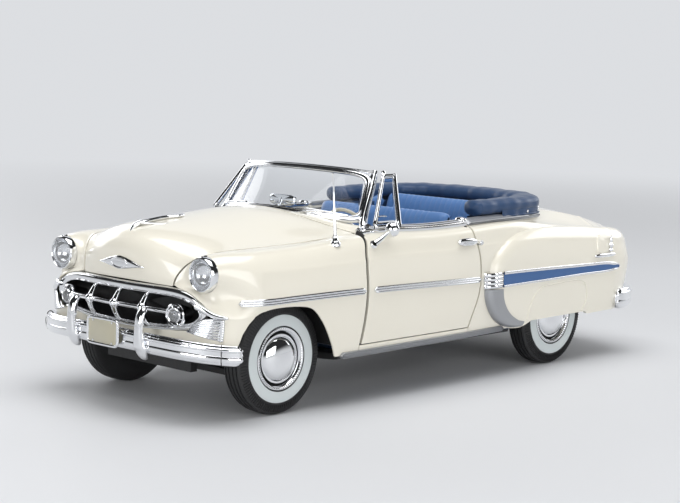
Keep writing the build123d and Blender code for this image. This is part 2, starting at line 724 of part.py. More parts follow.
# Vent windows, leaning in on the doors
lean = Plane(origin=(0, vent_foot_y, vent_foot_z), x_dir=(1, 0, 0),
             z_dir=(0, -cos(vent_lean), -sin(vent_lean)))
vent_points = [(vent_front_low_x, 0), (vent_front_high_x, vent_rise), (vent_rear_high_x, vent_rise),
               (vent_rear_low_x, 0)]
vent_face = lean * Face(Wire(Polyline(*vent_points, close=True)))
vent_hole = lean * offset(Face(Wire(Polyline(*vent_points, close=True))), -vent_bar)
vent_normal = lean.z_dir
vent_frame = extrude(vent_face, vent_depth, vent_normal) - extrude(vent_hole, vent_depth,
                                                                   vent_normal) - moulding_form
vent_pane = extrude(vent_hole, glass_depth, vent_normal) - moulding_form
for side, place in (("left", lambda solid: solid), ("right", mirror_y)):
    write(f"vent_frame_{side}", place(vent_frame))
    write(f"vent_glass_{side}", place(vent_pane))

# Grille: surround, bar with teeth, parking lamps and the dark panel behind
face_skin = form(-grille_proud) - form(wall)
surround = (front_prism(GRILLE_SHARES, grille_back_x, half_length)
            - inset_front_prism(GRILLE_SHARES, grille_rim, grille_back_x, half_length)) & face_skin
write("grille_surround", surround)
bar_form = plan_form(-bar_reach) - plan_form(bar_reach - bar_depth)
bars = block(0, half_length, -bar_half_width, bar_half_width, bar_z - bar_half_height,
             bar_z + bar_half_height) & bar_form
for tooth_y in (-tooth_pitch, 0, tooth_pitch):
    tooth = side_prism(TOOTH_SHARES, tooth_y - tooth_width / 2, tooth_y + tooth_width / 2)
    bars += tooth
    bars += Pos(tooth_ball_x, tooth_y, bar_z) * Sphere(tooth_ball_radius)
park = rod((park_rear_x, park_y, park_z), (park_front_x, park_y, park_z), park_radius)
park -= rod((park_front_x - lens_seat, park_y, park_z), (park_front_x, park_y, park_z),
            park_lens_radius)
park_lens = rod((park_front_x - lens_seat, park_y, park_z), (park_front_x, park_y, park_z),
                park_lens_radius)
bars_cut = both_sides(rod((park_rear_x, park_y, park_z), (half_length, park_y, park_z), park_radius))
write("grille_bars", bars - bars_cut - surround)
write("parking_lamps", both_sides(park) - surround)
write("parking_lenses", both_sides(park_lens))

# Headlights
lamp_ring = rod((pod_front_x, lamp_y, lamp_z), (pod_front_x + lamp_rim_depth, lamp_y, lamp_z),
                lamp_rim_radius)
lamp_ring -= rod((pod_front_x, lamp_y, lamp_z), (half_length, lamp_y, lamp_z), lens_radius)
lens = Pos(pod_front_x - pod_recess_depth, lamp_y,
           lamp_z) * domed_disc(pod_recess_depth + lamp_rim_depth, lens_radius, lens_rise)
write("headlight_rims", both_sides(lamp_ring))
write("headlight_lenses", both_sides(lens))

# Bumpers, with their guards and irons
front_blade = plan_prism(FRONT_BUMPER_SHARES, front_bumper_low_z, front_bumper_high_z)
rear_blade = plan_prism(REAR_BUMPER_SHARES, rear_bumper_low_z, rear_bumper_high_z)
for guard_y in (-front_guard_y, front_guard_y):
    front_blade += side_prism(FRONT_GUARD_SHARES, guard_y - guard_width / 2, guard_y + guard_width / 2)
    iron_low_y, iron_high_y = guard_y - iron_width / 2, guard_y + iron_width / 2
    front_blade += block(chassis_front_x, iron_front_x, iron_low_y, iron_high_y, iron_z,
                         iron_z + iron_height)
    front_blade += block(iron_front_x - iron_height, iron_front_x, iron_low_y, iron_high_y, iron_z,
                         front_bumper_high_z - iron_height)
for guard_y in (-rear_guard_y, rear_guard_y):
    rear_blade += side_prism(REAR_GUARD_SHARES, guard_y - guard_width / 2, guard_y + guard_width / 2)
    iron_low_y, iron_high_y = guard_y - iron_width / 2, guard_y + iron_width / 2
    rear_blade += block(iron_rear_x, chassis_rear_x, iron_low_y, iron_high_y, iron_z,
                        iron_z + iron_height)
    rear_blade += block(iron_rear_x, iron_rear_x + iron_height, iron_low_y, iron_high_y, iron_z,
                        rear_bumper_high_z - iron_height)
write("front_bumper", front_blade)
write("rear_bumper", rear_blade)
plate_front = block(half_length - plate_depth, half_length, -plate_half_width, plate_half_width,
                    plate_low_z, plate_high_z)
plate_rear = block(-half_length, plate_depth - half_length, -plate_half_width, plate_half_width,
                   plate_low_z, plate_high_z)
write("licence_plates", (plate_front - front_blade) + (plate_rear - rear_blade))

# Tail lamps
tail = rod((tail_front_x, tail_y, tail_z), (tail_rear_x, tail_y, tail_z), tail_radius)
tail = tail - outer_form - pontoon
tail_lens = rod((tail_rear_x, tail_y, tail_z), (tail_rear_x - tail_lens_depth, tail_y, tail_z),
                tail_lens_radius)
write("tail_lamps", both_sides(tail))
write("tail_lenses", both_sides(tail_lens))

# Floor, chassis and running gear
floor = plan_prism(FLOOR_SHARES, floor_z, floor_z + floor_thickness)
floor += block(toe_board_x - floor_thickness, toe_board_x, -toe_board_half_width, toe_board_half_width,
               floor_z, toe_board_z)
floor += block(cabin_rear_x, cabin_rear_x + floor_thickness, -wheel_house_y, wheel_house_y, floor_z,
               rear_panel_z)
side_panel = block(quarter_rear_x, quarter_front_x, rear_cabin_half_width - floor_thickness,
                   rear_cabin_half_width,
                   floor_z, rear_panel_z)
side_panel += block(quarter_rear_x, quarter_rear_x + floor_thickness, wheel_house_y - floor_thickness,
                    rear_cabin_half_width, floor_z, rear_panel_z)
side_panel += block(cabin_rear_x, quarter_rear_x + floor_thickness, wheel_house_y - floor_thickness,
                    wheel_house_y,
                    floor_z, rear_panel_z)
floor += both_sides(side_panel)
floor += rod((tunnel_front_x, 0, tunnel_z), (tunnel_rear_x, 0, tunnel_z), tunnel_radius) & block(
    -half_length, half_length, -half_width, half_width, floor_z, height)
write("interior_floor", floor)

chassis = plan_prism(CHASSIS_SHARES, chassis_z, chassis_z + chassis_thickness)
for rail in (1, -1):
    chassis += block(rail_rear_x, rail_front_x, rail * rail_y - rail_width / 2,
                     rail * rail_y + rail_width / 2,
                     chassis_z - rail_drop, chassis_z)
for post_x in (-screw_x, screw_x):
    chassis += rod((post_x, 0, chassis_z - rail_drop), (post_x, 0, floor_z), screw_boss_radius)
for post_x in (-screw_x, screw_x):
    chassis -= rod((post_x, 0, chassis_z - rail_drop), (post_x, 0, floor_z - floor_thickness),
                   screw_radius)
for rest_y in (-rest_half_y, rest_half_y):
    chassis += block(rest_rear_x, rest_front_x, rest_y - floor_thickness, rest_y + floor_thickness,
                     chassis_z + chassis_thickness, floor_z)
chassis += block(chassis_front_x - floor_thickness, chassis_front_x, -rail_y, rail_y, chassis_z,
                 iron_z + iron_height)
chassis += block(chassis_rear_x, chassis_rear_x + floor_thickness, -rail_y, rail_y, chassis_z,
                 iron_z + iron_height)
write("chassis_plate", chassis)

bay = block(bay_rear_x, bay_front_x, bay_half_width - floor_thickness, bay_half_width,
            chassis_z + chassis_thickness, bay_z)
bay = both_sides(bay)
bay += block(bay_rear_x - floor_thickness, bay_rear_x, -firewall_half_width, firewall_half_width,
             chassis_z + chassis_thickness, firewall_z)
write("engine_bay", bay)
radiator = block(bay_front_x, bay_front_x + radiator_depth, -bay_half_width, bay_half_width,
                 chassis_z + chassis_thickness, bay_z)
write("radiator", radiator)
engine = block(engine_rear_x, engine_front_x, -engine_half_width, engine_half_width,
               chassis_z + chassis_thickness, engine_z)
engine += Pos(cleaner_x, cleaner_y, engine_z) * Cylinder(cleaner_radius, cleaner_height,
                                                         align=(Align.CENTER, Align.CENTER, Align.MIN))
write("engine", engine)

exhaust = rod((exhaust_front_x, -exhaust_y, exhaust_z), (exhaust_rear_x, -exhaust_y, exhaust_z),
              exhaust_radius)
exhaust += rod((muffler_front_x, -exhaust_y, exhaust_z), (muffler_rear_x, -exhaust_y, exhaust_z),
               muffler_radius)
write("exhaust", exhaust)

# Front suspension: a cross member whose forks hold the kingpins
arm_low = chassis_z - arm_thickness
arm_high_top = tyre_radius * 2 - arm_low
member = block(front_axle_x - arm_half, front_axle_x + arm_half, -fork_y, fork_y, arm_low, chassis_z)
for side in (1, -1):
    y_low, y_high = sorted((side * fork_y, side * (fork_y - arm_thickness)))
    member += block(front_axle_x - arm_half, front_axle_x + arm_half, y_low, y_high, arm_low,
                    arm_high_top)
    for low in (arm_low, arm_high_top - arm_thickness):
        y_low, y_high = sorted((side * (fork_y - arm_thickness), side * kingpin_y))
        member += block(front_axle_x - arm_half, front_axle_x + arm_half, y_low, y_high, low,
                        low + arm_thickness)
        member += rod((front_axle_x, side * kingpin_y, low),
                      (front_axle_x, side * kingpin_y, low + arm_thickness), arm_half)
    member -= rod((front_axle_x, side * kingpin_y, arm_low),
                  (front_axle_x, side * kingpin_y, arm_high_top),
                  kingpin_radius + running_gap)
write("front_suspension", member)

knuckle = block(front_axle_x - knuckle_half, front_axle_x + knuckle_half, kingpin_y - knuckle_half,
                kingpin_y + kingpin_radius,
                arm_low + arm_thickness + seat_gap, arm_high_top - arm_thickness - seat_gap)
knuckle += rod((front_axle_x, kingpin_y, arm_low), (front_axle_x, kingpin_y, arm_high_top),
               kingpin_radius)
knuckle += rod((front_axle_x, kingpin_y, tyre_radius),
               (front_axle_x, front_track_half + axle_reach, tyre_radius), axle_radius)
write("knuckle_left", knuckle)
write("knuckle_right", mirror_y(knuckle))

# Rear axle in its housing
housing = rod((rear_axle_x, -housing_half, tyre_radius), (rear_axle_x, housing_half, tyre_radius),
              housing_radius)
housing += Pos(rear_axle_x, 0, tyre_radius) * Sphere(differential_radius)
housing -= rod((rear_axle_x, -half_width, tyre_radius), (rear_axle_x, half_width, tyre_radius),
               axle_radius + running_gap)
for side in (1, -1):
    housing += block(spring_rear_x, spring_front_x, side * spring_y - spring_half,
                     side * spring_y + spring_half,
                     chassis_z + chassis_thickness, tyre_radius - housing_radius + seat_gap)
write("rear_axle_housing", housing)
write("rear_axle", rod((rear_axle_x, -rear_track_half - axle_reach, tyre_radius),
                       (rear_axle_x, rear_track_half + axle_reach, tyre_radius), axle_radius))

# Wheels: tyre, and one turned piece for rim, disc and hub cap


def tyre_at(x, y):
    points = [(rim_radius, -bead_half, 0), (rim_radius, bead_half, 0.12),
              (shoulder_radius, shoulder_half, 0.1),
              (tyre_radius, tread_half, 0), (tyre_radius, -tread_half, 0.1), (shoulder_radius,
                                                                              -shoulder_half, 0.12)]
    return Pos(x, 0, tyre_radius) * wheel_profile([(r, o, -b) for r, o, b in points], y)


def rim_at(x, y, bore):
    points = [(bore, -hub_reach, 0), (hub_radius, -hub_reach, 0), (hub_radius, disc_y, 0),
              (rim_radius - rim_wall, disc_y, 0),
              (rim_radius - rim_wall, -bead_half, 0), (rim_radius, -bead_half, 0), (rim_radius,
                                                                                    bead_half, 0),
              (ring_radius, ring_y, 0), (cap_radius, bead_half, 0), (cap_radius * cap_share,
                                                                     cap_y - cap_fall, 0),
              (0, cap_y, 0), (0, axle_reach + seat_gap, 0), (bore, axle_reach + seat_gap, 0)]
    return Pos(x, 0, tyre_radius) * wheel_profile(points, y)


front_tyre = tyre_at(front_axle_x, front_track_half)
front_rim = rim_at(front_axle_x, front_track_half, axle_radius + running_gap)
for side, place in (("left", lambda solid: solid), ("right", mirror_y)):
    write(f"tyre_front_{side}", place(front_tyre))
    write(f"rim_front_{side}", place(front_rim))
write("rear_tyres", both_sides(tyre_at(rear_axle_x, rear_track_half)))
write("rear_rims", both_sides(rim_at(rear_axle_x, rear_track_half, axle_radius)))

# Seats, folded top and dashboard
write("front_seat", side_prism(FRONT_SEAT_SHARES, -seat_half_width, seat_half_width) - floor)
write("rear_seat", side_prism(REAR_SEAT_SHARES, -rear_seat_half_width, rear_seat_half_width) - floor)
boot = plan_prism(BOOT_SHARES, boot_low_z, boot_high_z) - plan_prism(BOOT_INNER_SHARES, boot_low_z,
                                                                     boot_high_z)
write("top_boot", boot - moulding_form)
dash = side_prism(DASH_SHARES, -dash_half_width, dash_half_width)
column_start = Vector(column_x, column_y, column_z)
column_way = Vector(-cos(column_rake), 0, sin(column_rake))
column_end = column_start + column_way * column_length
wheel_centre = column_end + column_way * shaft_reach
column = rod(column_start, column_end, column_radius)
column -= rod(column_end - column_way * shaft_depth, column_end, shaft_radius + running_gap)
dash -= rod(column_start, column_end, column_radius)
write("dashboard", dash - body - floor)
write("steering_column", column)
steering = Plane(origin=wheel_centre, z_dir=column_way) * Torus(steering_wheel_radius,
                                                                steering_grip_radius)
steering += rod(column_end - column_way * (shaft_depth - seat_gap), wheel_centre, shaft_radius)
spoke_plane = Plane(origin=wheel_centre, x_dir=(0, 1, 0), z_dir=column_way)
steering += spoke_plane * Box(2 * steering_wheel_radius, spoke_width, spoke_thickness)
steering += spoke_plane * Cylinder(steering_hub_radius, spoke_width)
write("steering_wheel", steering)

mirror_head = block(mirror_x - mirror_depth, mirror_x, -mirror_half_width, mirror_half_width,
                    mirror_low_z, mirror_high_z)
mirror_head += rod((mirror_x, 0, mirror_low_z), (mirror_foot_x, 0, mirror_foot_z), mirror_stalk_radius)
write("rear_view_mirror", mirror_head - dash)

# Antenna, door mirror, hood ornament and trunk handle
write("antenna",
      rod((antenna_x, antenna_y, antenna_low_z), (antenna_x - antenna_lean, antenna_y, antenna_high_z),
          antenna_radius)
      - outer_form)
door_mirror = rod((door_mirror_x, door_mirror_y, door_mirror_z),
                  (door_mirror_x + mirror_depth, door_mirror_y, door_mirror_z), door_mirror_radius)
door_mirror += rod((door_mirror_x + mirror_depth / 2, door_mirror_y, door_mirror_z),
                   (door_mirror_foot_x, door_mirror_foot_y, door_mirror_foot_z), mirror_stalk_radius)
write("door_mirror", door_mirror - outer_form)
ornament = side_prism(ORNAMENT_SHARES, -ornament_half_width, ornament_half_width)
emblem = front_prism(EMBLEM_SHARES, 0, half_length) & (form(-ornament_half_width) - outer_form)
write("hood_ornament", (ornament - outer_form) + emblem)
trunk_handle = block(-half_length, trunk_handle_x, -trunk_handle_half, trunk_handle_half,
                     trunk_handle_low_z, trunk_handle_high_z)
write("trunk_handle", (trunk_handle & form(-trunk_handle_depth)) - outer_form)
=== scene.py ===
# %% [markdown]
# # A small die-cast convertible
# The model stands about 276 mm long. Its frame comes from CAD: every moving body, hinge and axle is
# already in place. This lesson dresses that frame. A painted metal car lives from its long, even
# reflections, so the body panels are worked out as smooth surfaces with numpy instead of being pushed
# about by hand.

# %% Load the frame
import json

import bmesh
import bpy
import numpy as np
from mathutils import Matrix, Vector

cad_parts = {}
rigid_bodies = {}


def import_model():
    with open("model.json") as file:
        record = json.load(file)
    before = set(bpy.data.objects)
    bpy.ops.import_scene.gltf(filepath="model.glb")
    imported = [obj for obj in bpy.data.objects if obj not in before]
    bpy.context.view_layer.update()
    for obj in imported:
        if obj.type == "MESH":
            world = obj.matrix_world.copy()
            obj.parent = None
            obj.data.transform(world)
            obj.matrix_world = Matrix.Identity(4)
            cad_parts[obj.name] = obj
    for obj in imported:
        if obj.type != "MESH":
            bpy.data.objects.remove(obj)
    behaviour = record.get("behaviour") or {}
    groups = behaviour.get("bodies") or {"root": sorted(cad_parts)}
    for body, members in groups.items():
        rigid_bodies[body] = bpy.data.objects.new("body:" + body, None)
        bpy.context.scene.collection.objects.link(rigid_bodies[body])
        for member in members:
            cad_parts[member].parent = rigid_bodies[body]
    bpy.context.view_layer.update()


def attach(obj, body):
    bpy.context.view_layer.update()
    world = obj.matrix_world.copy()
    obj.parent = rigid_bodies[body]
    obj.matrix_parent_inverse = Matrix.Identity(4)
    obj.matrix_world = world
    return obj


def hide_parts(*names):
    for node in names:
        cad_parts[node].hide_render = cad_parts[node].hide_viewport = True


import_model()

# %% [markdown]
# ## Curves and surfaces
# A panel beater thinks in a few stations and lets the metal flow between them. A natural cubic spline
# does the same: it passes through each station with an even slope and bend. The sweeps and turned parts
# further down are all grids of points, so one helper can turn any grid into a mesh.

# %% A smooth curve through stations
MM = 0.001


def curve(rows):
    """Natural cubic spline. Each row is a place and the values there. The bend at each row solves the
    three-term equation that makes neighbouring cubics share slope and bend, with no bend at the ends."""
    table = np.array(sorted(rows), float)
    place, value = table[:, 0], table[:, 1:]
    step = np.diff(place)
    slope = np.diff(value, axis=0) / step[:, None]
    size = len(place)
    system, right = np.eye(size), np.zeros_like(value)
    if size > 2:
        inner = np.arange(1, size - 1)
        system[inner, inner - 1] = step[:-1]
        system[inner, inner] = 2 * (step[:-1] + step[1:])
        system[inner, inner + 1] = step[1:]
        right[1:-1] = 6 * np.diff(slope, axis=0)
    bend = np.linalg.solve(system, right)

    def at(where):
        where = np.clip(np.asarray(where, float), place[0], place[-1])
        i = np.clip(np.searchsorted(place, where) - 1, 0, size - 2)
        h = step[i][..., None]
        a = (place[i + 1] - where)[..., None]
        b = (where - place[i])[..., None]
        return ((bend[i] * a ** 3 + bend[i + 1] * b ** 3) / (6 * h)
                + (value[i] / h - bend[i] * h / 6) * a + (value[i + 1] / h - bend[i + 1] * h / 6) * b)

    return at


def path(points, count):
    """A smooth line through points, with count points spaced evenly by chord length."""
    points = np.array(points, float)
    chord = np.concatenate([[0], np.cumsum(np.linalg.norm(np.diff(points, axis=0), axis=1))])
    line = curve(np.column_stack([chord, points]).tolist())
    return line(np.linspace(0, chord[-1], count))


def ease(t):
    """0 to 1 with level ends: three t squared minus two t cubed."""
    t = np.clip(t, 0, 1)
    return t * t * (3 - 2 * t)


def hermite(start, end, start_way, end_way, t):
    """Cubic from start to end that leaves along start_way and arrives along end_way."""
    t = np.asarray(t, float)[..., None]
    return ((2 * t ** 3 - 3 * t ** 2 + 1) * start + (t ** 3 - 2 * t ** 2 + t) * start_way
            + (3 * t ** 2 - 2 * t ** 3) * end + (t ** 3 - t ** 2) * end_way)


print("curve check, halfway between 0 and 4 through 1 and 3:", curve([(0, 0), (1, 1), (3, 3), (4, 4)])(2.0))

# %% [markdown]
# A mesh is only a list of points and a list of faces. Every panel here is a grid, so one helper numbers
# its quads, one turns them to face outwards, and one makes the object, merges its seams and gives it a
# wall and soft edges.

# %% Grids to meshes
def grid_faces(rows, columns, round_rows=False, round_columns=False):
    """Corner numbers of the quads of a grid, joined end to end in a direction that is round."""
    i, j = np.meshgrid(np.arange(rows - (not round_rows)), np.arange(columns - (not round_columns)),
        indexing="ij")
    up, over = (i + 1) % rows, (j + 1) % columns
    corners = [i * columns + j, up * columns + j, up * columns + over, i * columns + over]
    return np.stack(corners, -1).reshape(-1, 4)


def oriented(points, faces, inside):
    """Faces turned round if, on the whole, they point towards the place called inside."""
    a, b, c, d = (points[faces[:, k]] for k in range(4))
    normal = np.cross(c - a, d - b)
    outwards = ((a + b + c + d) / 4 - np.array(inside, float))
    return faces if (normal * outwards).sum() > 0 else faces[:, ::-1]


def sheet_of(points, inside=(0, 0, 30), round_rows=False, round_columns=False):
    """A grid of points in millimetres as points and outward faces."""
    rows, columns = points.shape[:2]
    flat = points.reshape(-1, 3)
    return flat, oriented(flat, grid_faces(rows, columns, round_rows, round_columns), inside)


def mirrored(part):
    """The same sheet on the car's right side, with its faces turned so that they still point out."""
    points, faces = part
    return points * [1, -1, 1], faces[:, ::-1]


def both_sides(parts):
    """The parts of the left side followed by their mirror images."""
    return parts + [mirrored(part) for part in parts]


def piece(name, parts, material, body="car", replaces=(), wall=0, edge=0, smooth_angle=40):
    """One mesh object from several sheets: seams merged, wall thickness laid inwards, edges eased."""
    points = np.vstack([part[0] for part in parts]) * MM
    starts = np.cumsum([0] + [len(part[0]) for part in parts[:-1]])
    faces = np.vstack([part[1] + start for part, start in zip(parts, starts)])
    mesh = bpy.data.meshes.new(name)
    mesh.from_pydata(points.tolist(), [], faces.tolist())
    work = bmesh.new()
    work.from_mesh(mesh)
    bmesh.ops.remove_doubles(work, verts=work.verts, dist=0.00001)
    bmesh.ops.dissolve_degenerate(work, edges=work.edges, dist=0.000001)
    work.to_mesh(mesh)
    work.free()
    mesh.polygons.foreach_set("use_smooth", np.ones(len(mesh.polygons), bool))
    if not wall:
        mesh.set_sharp_from_angle(angle=np.radians(smooth_angle))
    mesh.materials.append(material)
    made = bpy.data.objects.new(name, mesh)
    bpy.context.scene.collection.objects.link(made)
    if wall:
        solid = made.modifiers.new("wall", "SOLIDIFY")
        solid.thickness = wall * MM
        solid.offset = -1
        solid.use_quality_normals = True
    if edge:
        ease_edge = made.modifiers.new("edge", "BEVEL")
        ease_edge.width = edge * MM
        ease_edge.segments = 2
        ease_edge.limit_method = "ANGLE"
        ease_edge.angle_limit = np.radians(50)
        ease_edge.harden_normals = True
    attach(made, body)
    if replaces:
        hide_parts(*replaces)
    print(f"{name}: {len(mesh.vertices)} points, rides on {body}")
    return made


print("faces of a 3 by 4 grid:", len(grid_faces(3, 4)))

# %% [markdown]
# Bars, pipes and trim are one closed section carried along a path. Caps, lamps and wheels are a profile
# turned about an axle. Both give a grid, so they share the helper above.

# %% Sweeps and turned parts
def circle(count):
    """Angles spaced evenly once round, with the last one just short of the first."""
    return np.linspace(0, 2 * np.pi, count, endpoint=False)


def squarish(angle, power):
    """Cosine and sine with their sizes raised to a power: 1 gives a circle, less gives a rounded
    square."""
    return (np.sign(np.cos(angle)) * np.abs(np.cos(angle)) ** power,
            np.sign(np.sin(angle)) * np.abs(np.sin(angle)) ** power)


def swept(line, half_width, half_height, up=(0, 0, 1), power=2.0, around=24, closed=False, lift=0.0):
    """A superellipse section carried along a line: sideways it reaches half_width and upwards
    half_height, each a number or one value per point of the line. Ends close to a point where both are
    zero."""
    line = np.asarray(line, float)
    count = len(line)
    way = np.gradient(line, axis=0)
    if closed:
        way = np.roll(line, -1, 0) - np.roll(line, 1, 0)
    way /= np.linalg.norm(way, axis=1)[:, None]
    side = np.cross(way, np.broadcast_to(np.array(up, float), way.shape))
    side /= np.linalg.norm(side, axis=1)[:, None]
    top = np.cross(side, way)
    angle = circle(around)
    across, above = squarish(angle, 2 / power)
    wide = np.broadcast_to(half_width, count)[:, None, None]
    high = np.broadcast_to(half_height, count)[:, None, None]
    points = line[:, None] + side[:, None] * across[None, :, None] * wide + top[:,
        None] * (above + lift)[None, :, None] * high
    return tube_part(points, line, closed)


def tube_part(points, line, closed=False):
    """A closed-section grid as points and outward faces, judged against its own middle line."""
    rows, columns = points.shape[:2]
    faces = grid_faces(rows, columns, closed, True)
    flat = points.reshape(-1, 3)
    middle = np.repeat(line, columns, 0)
    a, b, c, d = (flat[faces[:, k]] for k in range(4))
    centre = (a + b + c + d) / 4
    core = (middle[faces[:, 0]] + middle[faces[:, 1]]) / 2
    outwards = (np.cross(c - a, d - b) * (centre - core)).sum()
    return flat, faces if outwards > 0 else faces[:, ::-1]


def rounded_ends(count, share=0.12):
    """Section scale along a line that closes to a point at both ends along a quarter circle."""
    t = np.linspace(0, 1, count)
    near = np.clip(np.minimum(t, 1 - t) / share, 0, 1)
    return np.sqrt(1 - (1 - near) ** 2)


def turned(profile, centre, axis=(0, 1, 0), around=64, inside_depth=None):
    """A profile of (radius, distance along the axis) rows turned once about an axis through centre."""
    profile = np.array(profile, float)
    axis = np.array(axis, float) / np.linalg.norm(axis)
    first = np.cross(axis, [0, 0, 1] if abs(axis[2]) < 0.9 else [1, 0, 0])
    first /= np.linalg.norm(first)
    second = np.cross(axis, first)
    angle = circle(around)
    spoke = np.cos(angle)[:, None] * first + np.sin(angle)[:, None] * second
    points = (np.array(centre, float) + profile[None, :, :1] * spoke[:, None] + profile[None, :, 1:] * axis)
    depth = profile[:, 1].mean() if inside_depth is None else inside_depth
    inside = np.array(centre, float) + axis * depth
    flat = points.reshape(-1, 3)
    return flat, oriented(flat, grid_faces(around, len(profile), True, False), inside)


print("a turned ring of 8 has", len(turned([(1, 0), (1, 1)], (0, 0, 0), around=8)[0]), "points")

# %% [markdown]
# ## Finishes
# A die-cast model has few materials, but each has its own small life. The paint is thick for its scale,
# with a clear coat and a faint orange peel. The chrome is vacuum plating on plastic, so it is never a
# perfect mirror. Each finish is one shader with its plain numbers on the sockets. Noise on Object
# coordinates varies roughness, colour or relief, which stays put when a part turns.

# %% Shader helper
def finish_of(name, colour, metallic=0.0, roughness=0.4, grain=900.0, relief=0.0, vary=0.0, second=None,
        sockets=None):
    """One finish: a Principled shader whose colour wanders between two tones and whose roughness and
    relief follow a noise of the given grain, counted in waves per metre."""
    made = bpy.data.materials.new(name)
    made.use_nodes = True
    nodes, links = made.node_tree.nodes, made.node_tree.links
    shader = nodes["Principled BSDF"]
    shader.inputs["Metallic"].default_value = metallic
    for socket, value in (sockets or {}).items():
        shader.inputs[socket].default_value = value
    place = nodes.new("ShaderNodeTexCoord")
    noise = nodes.new("ShaderNodeTexNoise")
    noise.inputs["Scale"].default_value = grain
    noise.inputs["Detail"].default_value = 3
    links.new(place.outputs["Object"], noise.inputs["Vector"])
    tones = nodes.new("ShaderNodeMix")
    tones.data_type = "RGBA"
    tones.inputs["A"].default_value = (*colour, 1)
    tones.inputs["B"].default_value = (*(second or [value * 0.9 for value in colour]), 1)
    slow = nodes.new("ShaderNodeTexNoise")
    slow.inputs["Scale"].default_value = 45
    slow.inputs["Detail"].default_value = 2
    links.new(place.outputs["Object"], slow.inputs["Vector"])
    links.new(slow.outputs["Fac"], tones.inputs["Factor"])
    links.new(tones.outputs["Result"], shader.inputs["Base Color"])
    rough = nodes.new("ShaderNodeMapRange")
    rough.inputs["To Min"].default_value = max(roughness - vary, 0)
    rough.inputs["To Max"].default_value = roughness + vary
    links.new(noise.outputs["Fac"], rough.inputs["Value"])
    links.new(rough.outputs["Result"], shader.inputs["Roughness"])
    if relief:
        bump = nodes.new("ShaderNodeBump")
        bump.inputs["Strength"].default_value = 1
        bump.inputs["Distance"].default_value = relief * MM
        links.new(noise.outputs["Fac"], bump.inputs["Height"])
        links.new(bump.outputs["Normal"], shader.inputs["Normal"])
    return made


print("the shader helper is ready")

# %% [markdown]
# The colours are close to those of the real model: warm ivory paint, two blues for the seats and the
# folded top, bright plating, satin silver for the stone guards and sills, and black for rubber and
# everything underneath.

# %% The finishes of this model
cream = finish_of("cream_gloss", (0.85, 0.815, 0.71), roughness=0.3, grain=700, relief=0.004, vary=0.03,
    second=(0.835, 0.795, 0.685), sockets={"Coat Weight": 0.9, "Coat Roughness": 0.06, "IOR": 1.5})
chrome = finish_of("bright_plating", (0.86, 0.87, 0.89), metallic=1, roughness=0.075, grain=260,
    relief=0.003, vary=0.04, second=(0.8, 0.81, 0.83))
satin = finish_of("satin_silver", (0.42, 0.43, 0.45), metallic=0.75, roughness=0.42, grain=2600,
    relief=0.012, vary=0.08)
rubber = finish_of("tyre_black", (0.016, 0.016, 0.017), roughness=0.62, grain=1500, relief=0.02, vary=0.12,
                   second=(0.024, 0.024, 0.026))
whitewall = finish_of("whitewall", (0.66, 0.71, 0.71), roughness=0.5, grain=1200, relief=0.006, vary=0.08,
                      second=(0.62, 0.67, 0.68))
seat_blue = finish_of("light_blue_vinyl", (0.085, 0.21, 0.48), roughness=0.42, grain=2200, relief=0.03,
    vary=0.07, second=(0.075, 0.19, 0.45), sockets={"Sheen Weight": 0.15})
boot_blue = finish_of("dark_blue_vinyl", (0.016, 0.054, 0.14), roughness=0.45, grain=2400, relief=0.03,
    vary=0.08, second=(0.013, 0.045, 0.12), sockets={"Sheen Weight": 0.1})
insert_blue = finish_of("insert_blue", (0.045, 0.13, 0.33), roughness=0.34, grain=1500, relief=0.005,
    vary=0.05)
carpet = finish_of("cabin_carpet", (0.035, 0.09, 0.22), roughness=0.95, grain=5200, relief=0.12, vary=0.04,
                   second=(0.02, 0.06, 0.16), sockets={"Sheen Weight": 0.5})
underside = finish_of("chassis_black", (0.02, 0.02, 0.021), roughness=0.5, grain=1400, relief=0.02,
    vary=0.15)
ivory = finish_of("ivory_plastic", (0.75, 0.7, 0.56), roughness=0.25, grain=800, relief=0.003, vary=0.05)
plate_tone = finish_of("plate_yellow", (0.62, 0.56, 0.36), roughness=0.4, grain=900, relief=0.01, vary=0.06,
                       second=(0.4, 0.4, 0.38))
red_lens = finish_of("red_lens", (0.5, 0.012, 0.01), roughness=0.12, grain=600, relief=0.004, vary=0.05,
                     sockets={"Transmission Weight": 0.25, "Coat Weight": 0.5})
lamp_lens = finish_of("lamp_lens", (0.93, 0.95, 0.97), roughness=0.14, grain=500, relief=0.004, vary=0.06,
    second=(0.9, 0.92, 0.95), sockets={"Transmission Weight": 0.8, "IOR": 1.35, "Coat Weight": 0.6})
glazing = finish_of("clear_glazing", (0.97, 0.985, 1.0), roughness=0.015, grain=200, relief=0.0, vary=0.012,
    second=(0.96, 0.98, 1.0), sockets={"Transmission Weight": 1.0, "IOR": 1.2, "Specular IOR Level": 0.9})
print("finishes:", len(bpy.data.materials))

# %% [markdown]
# ## Camera and light
# The photograph was taken from the front left at the height of the windshield. The three camera angles
# are turned into the camera's own axes, because the photograph leans a little. Soft area lamps stand
# overhead and beside the model, and long lamps give the paint and the chrome their clean streaks.

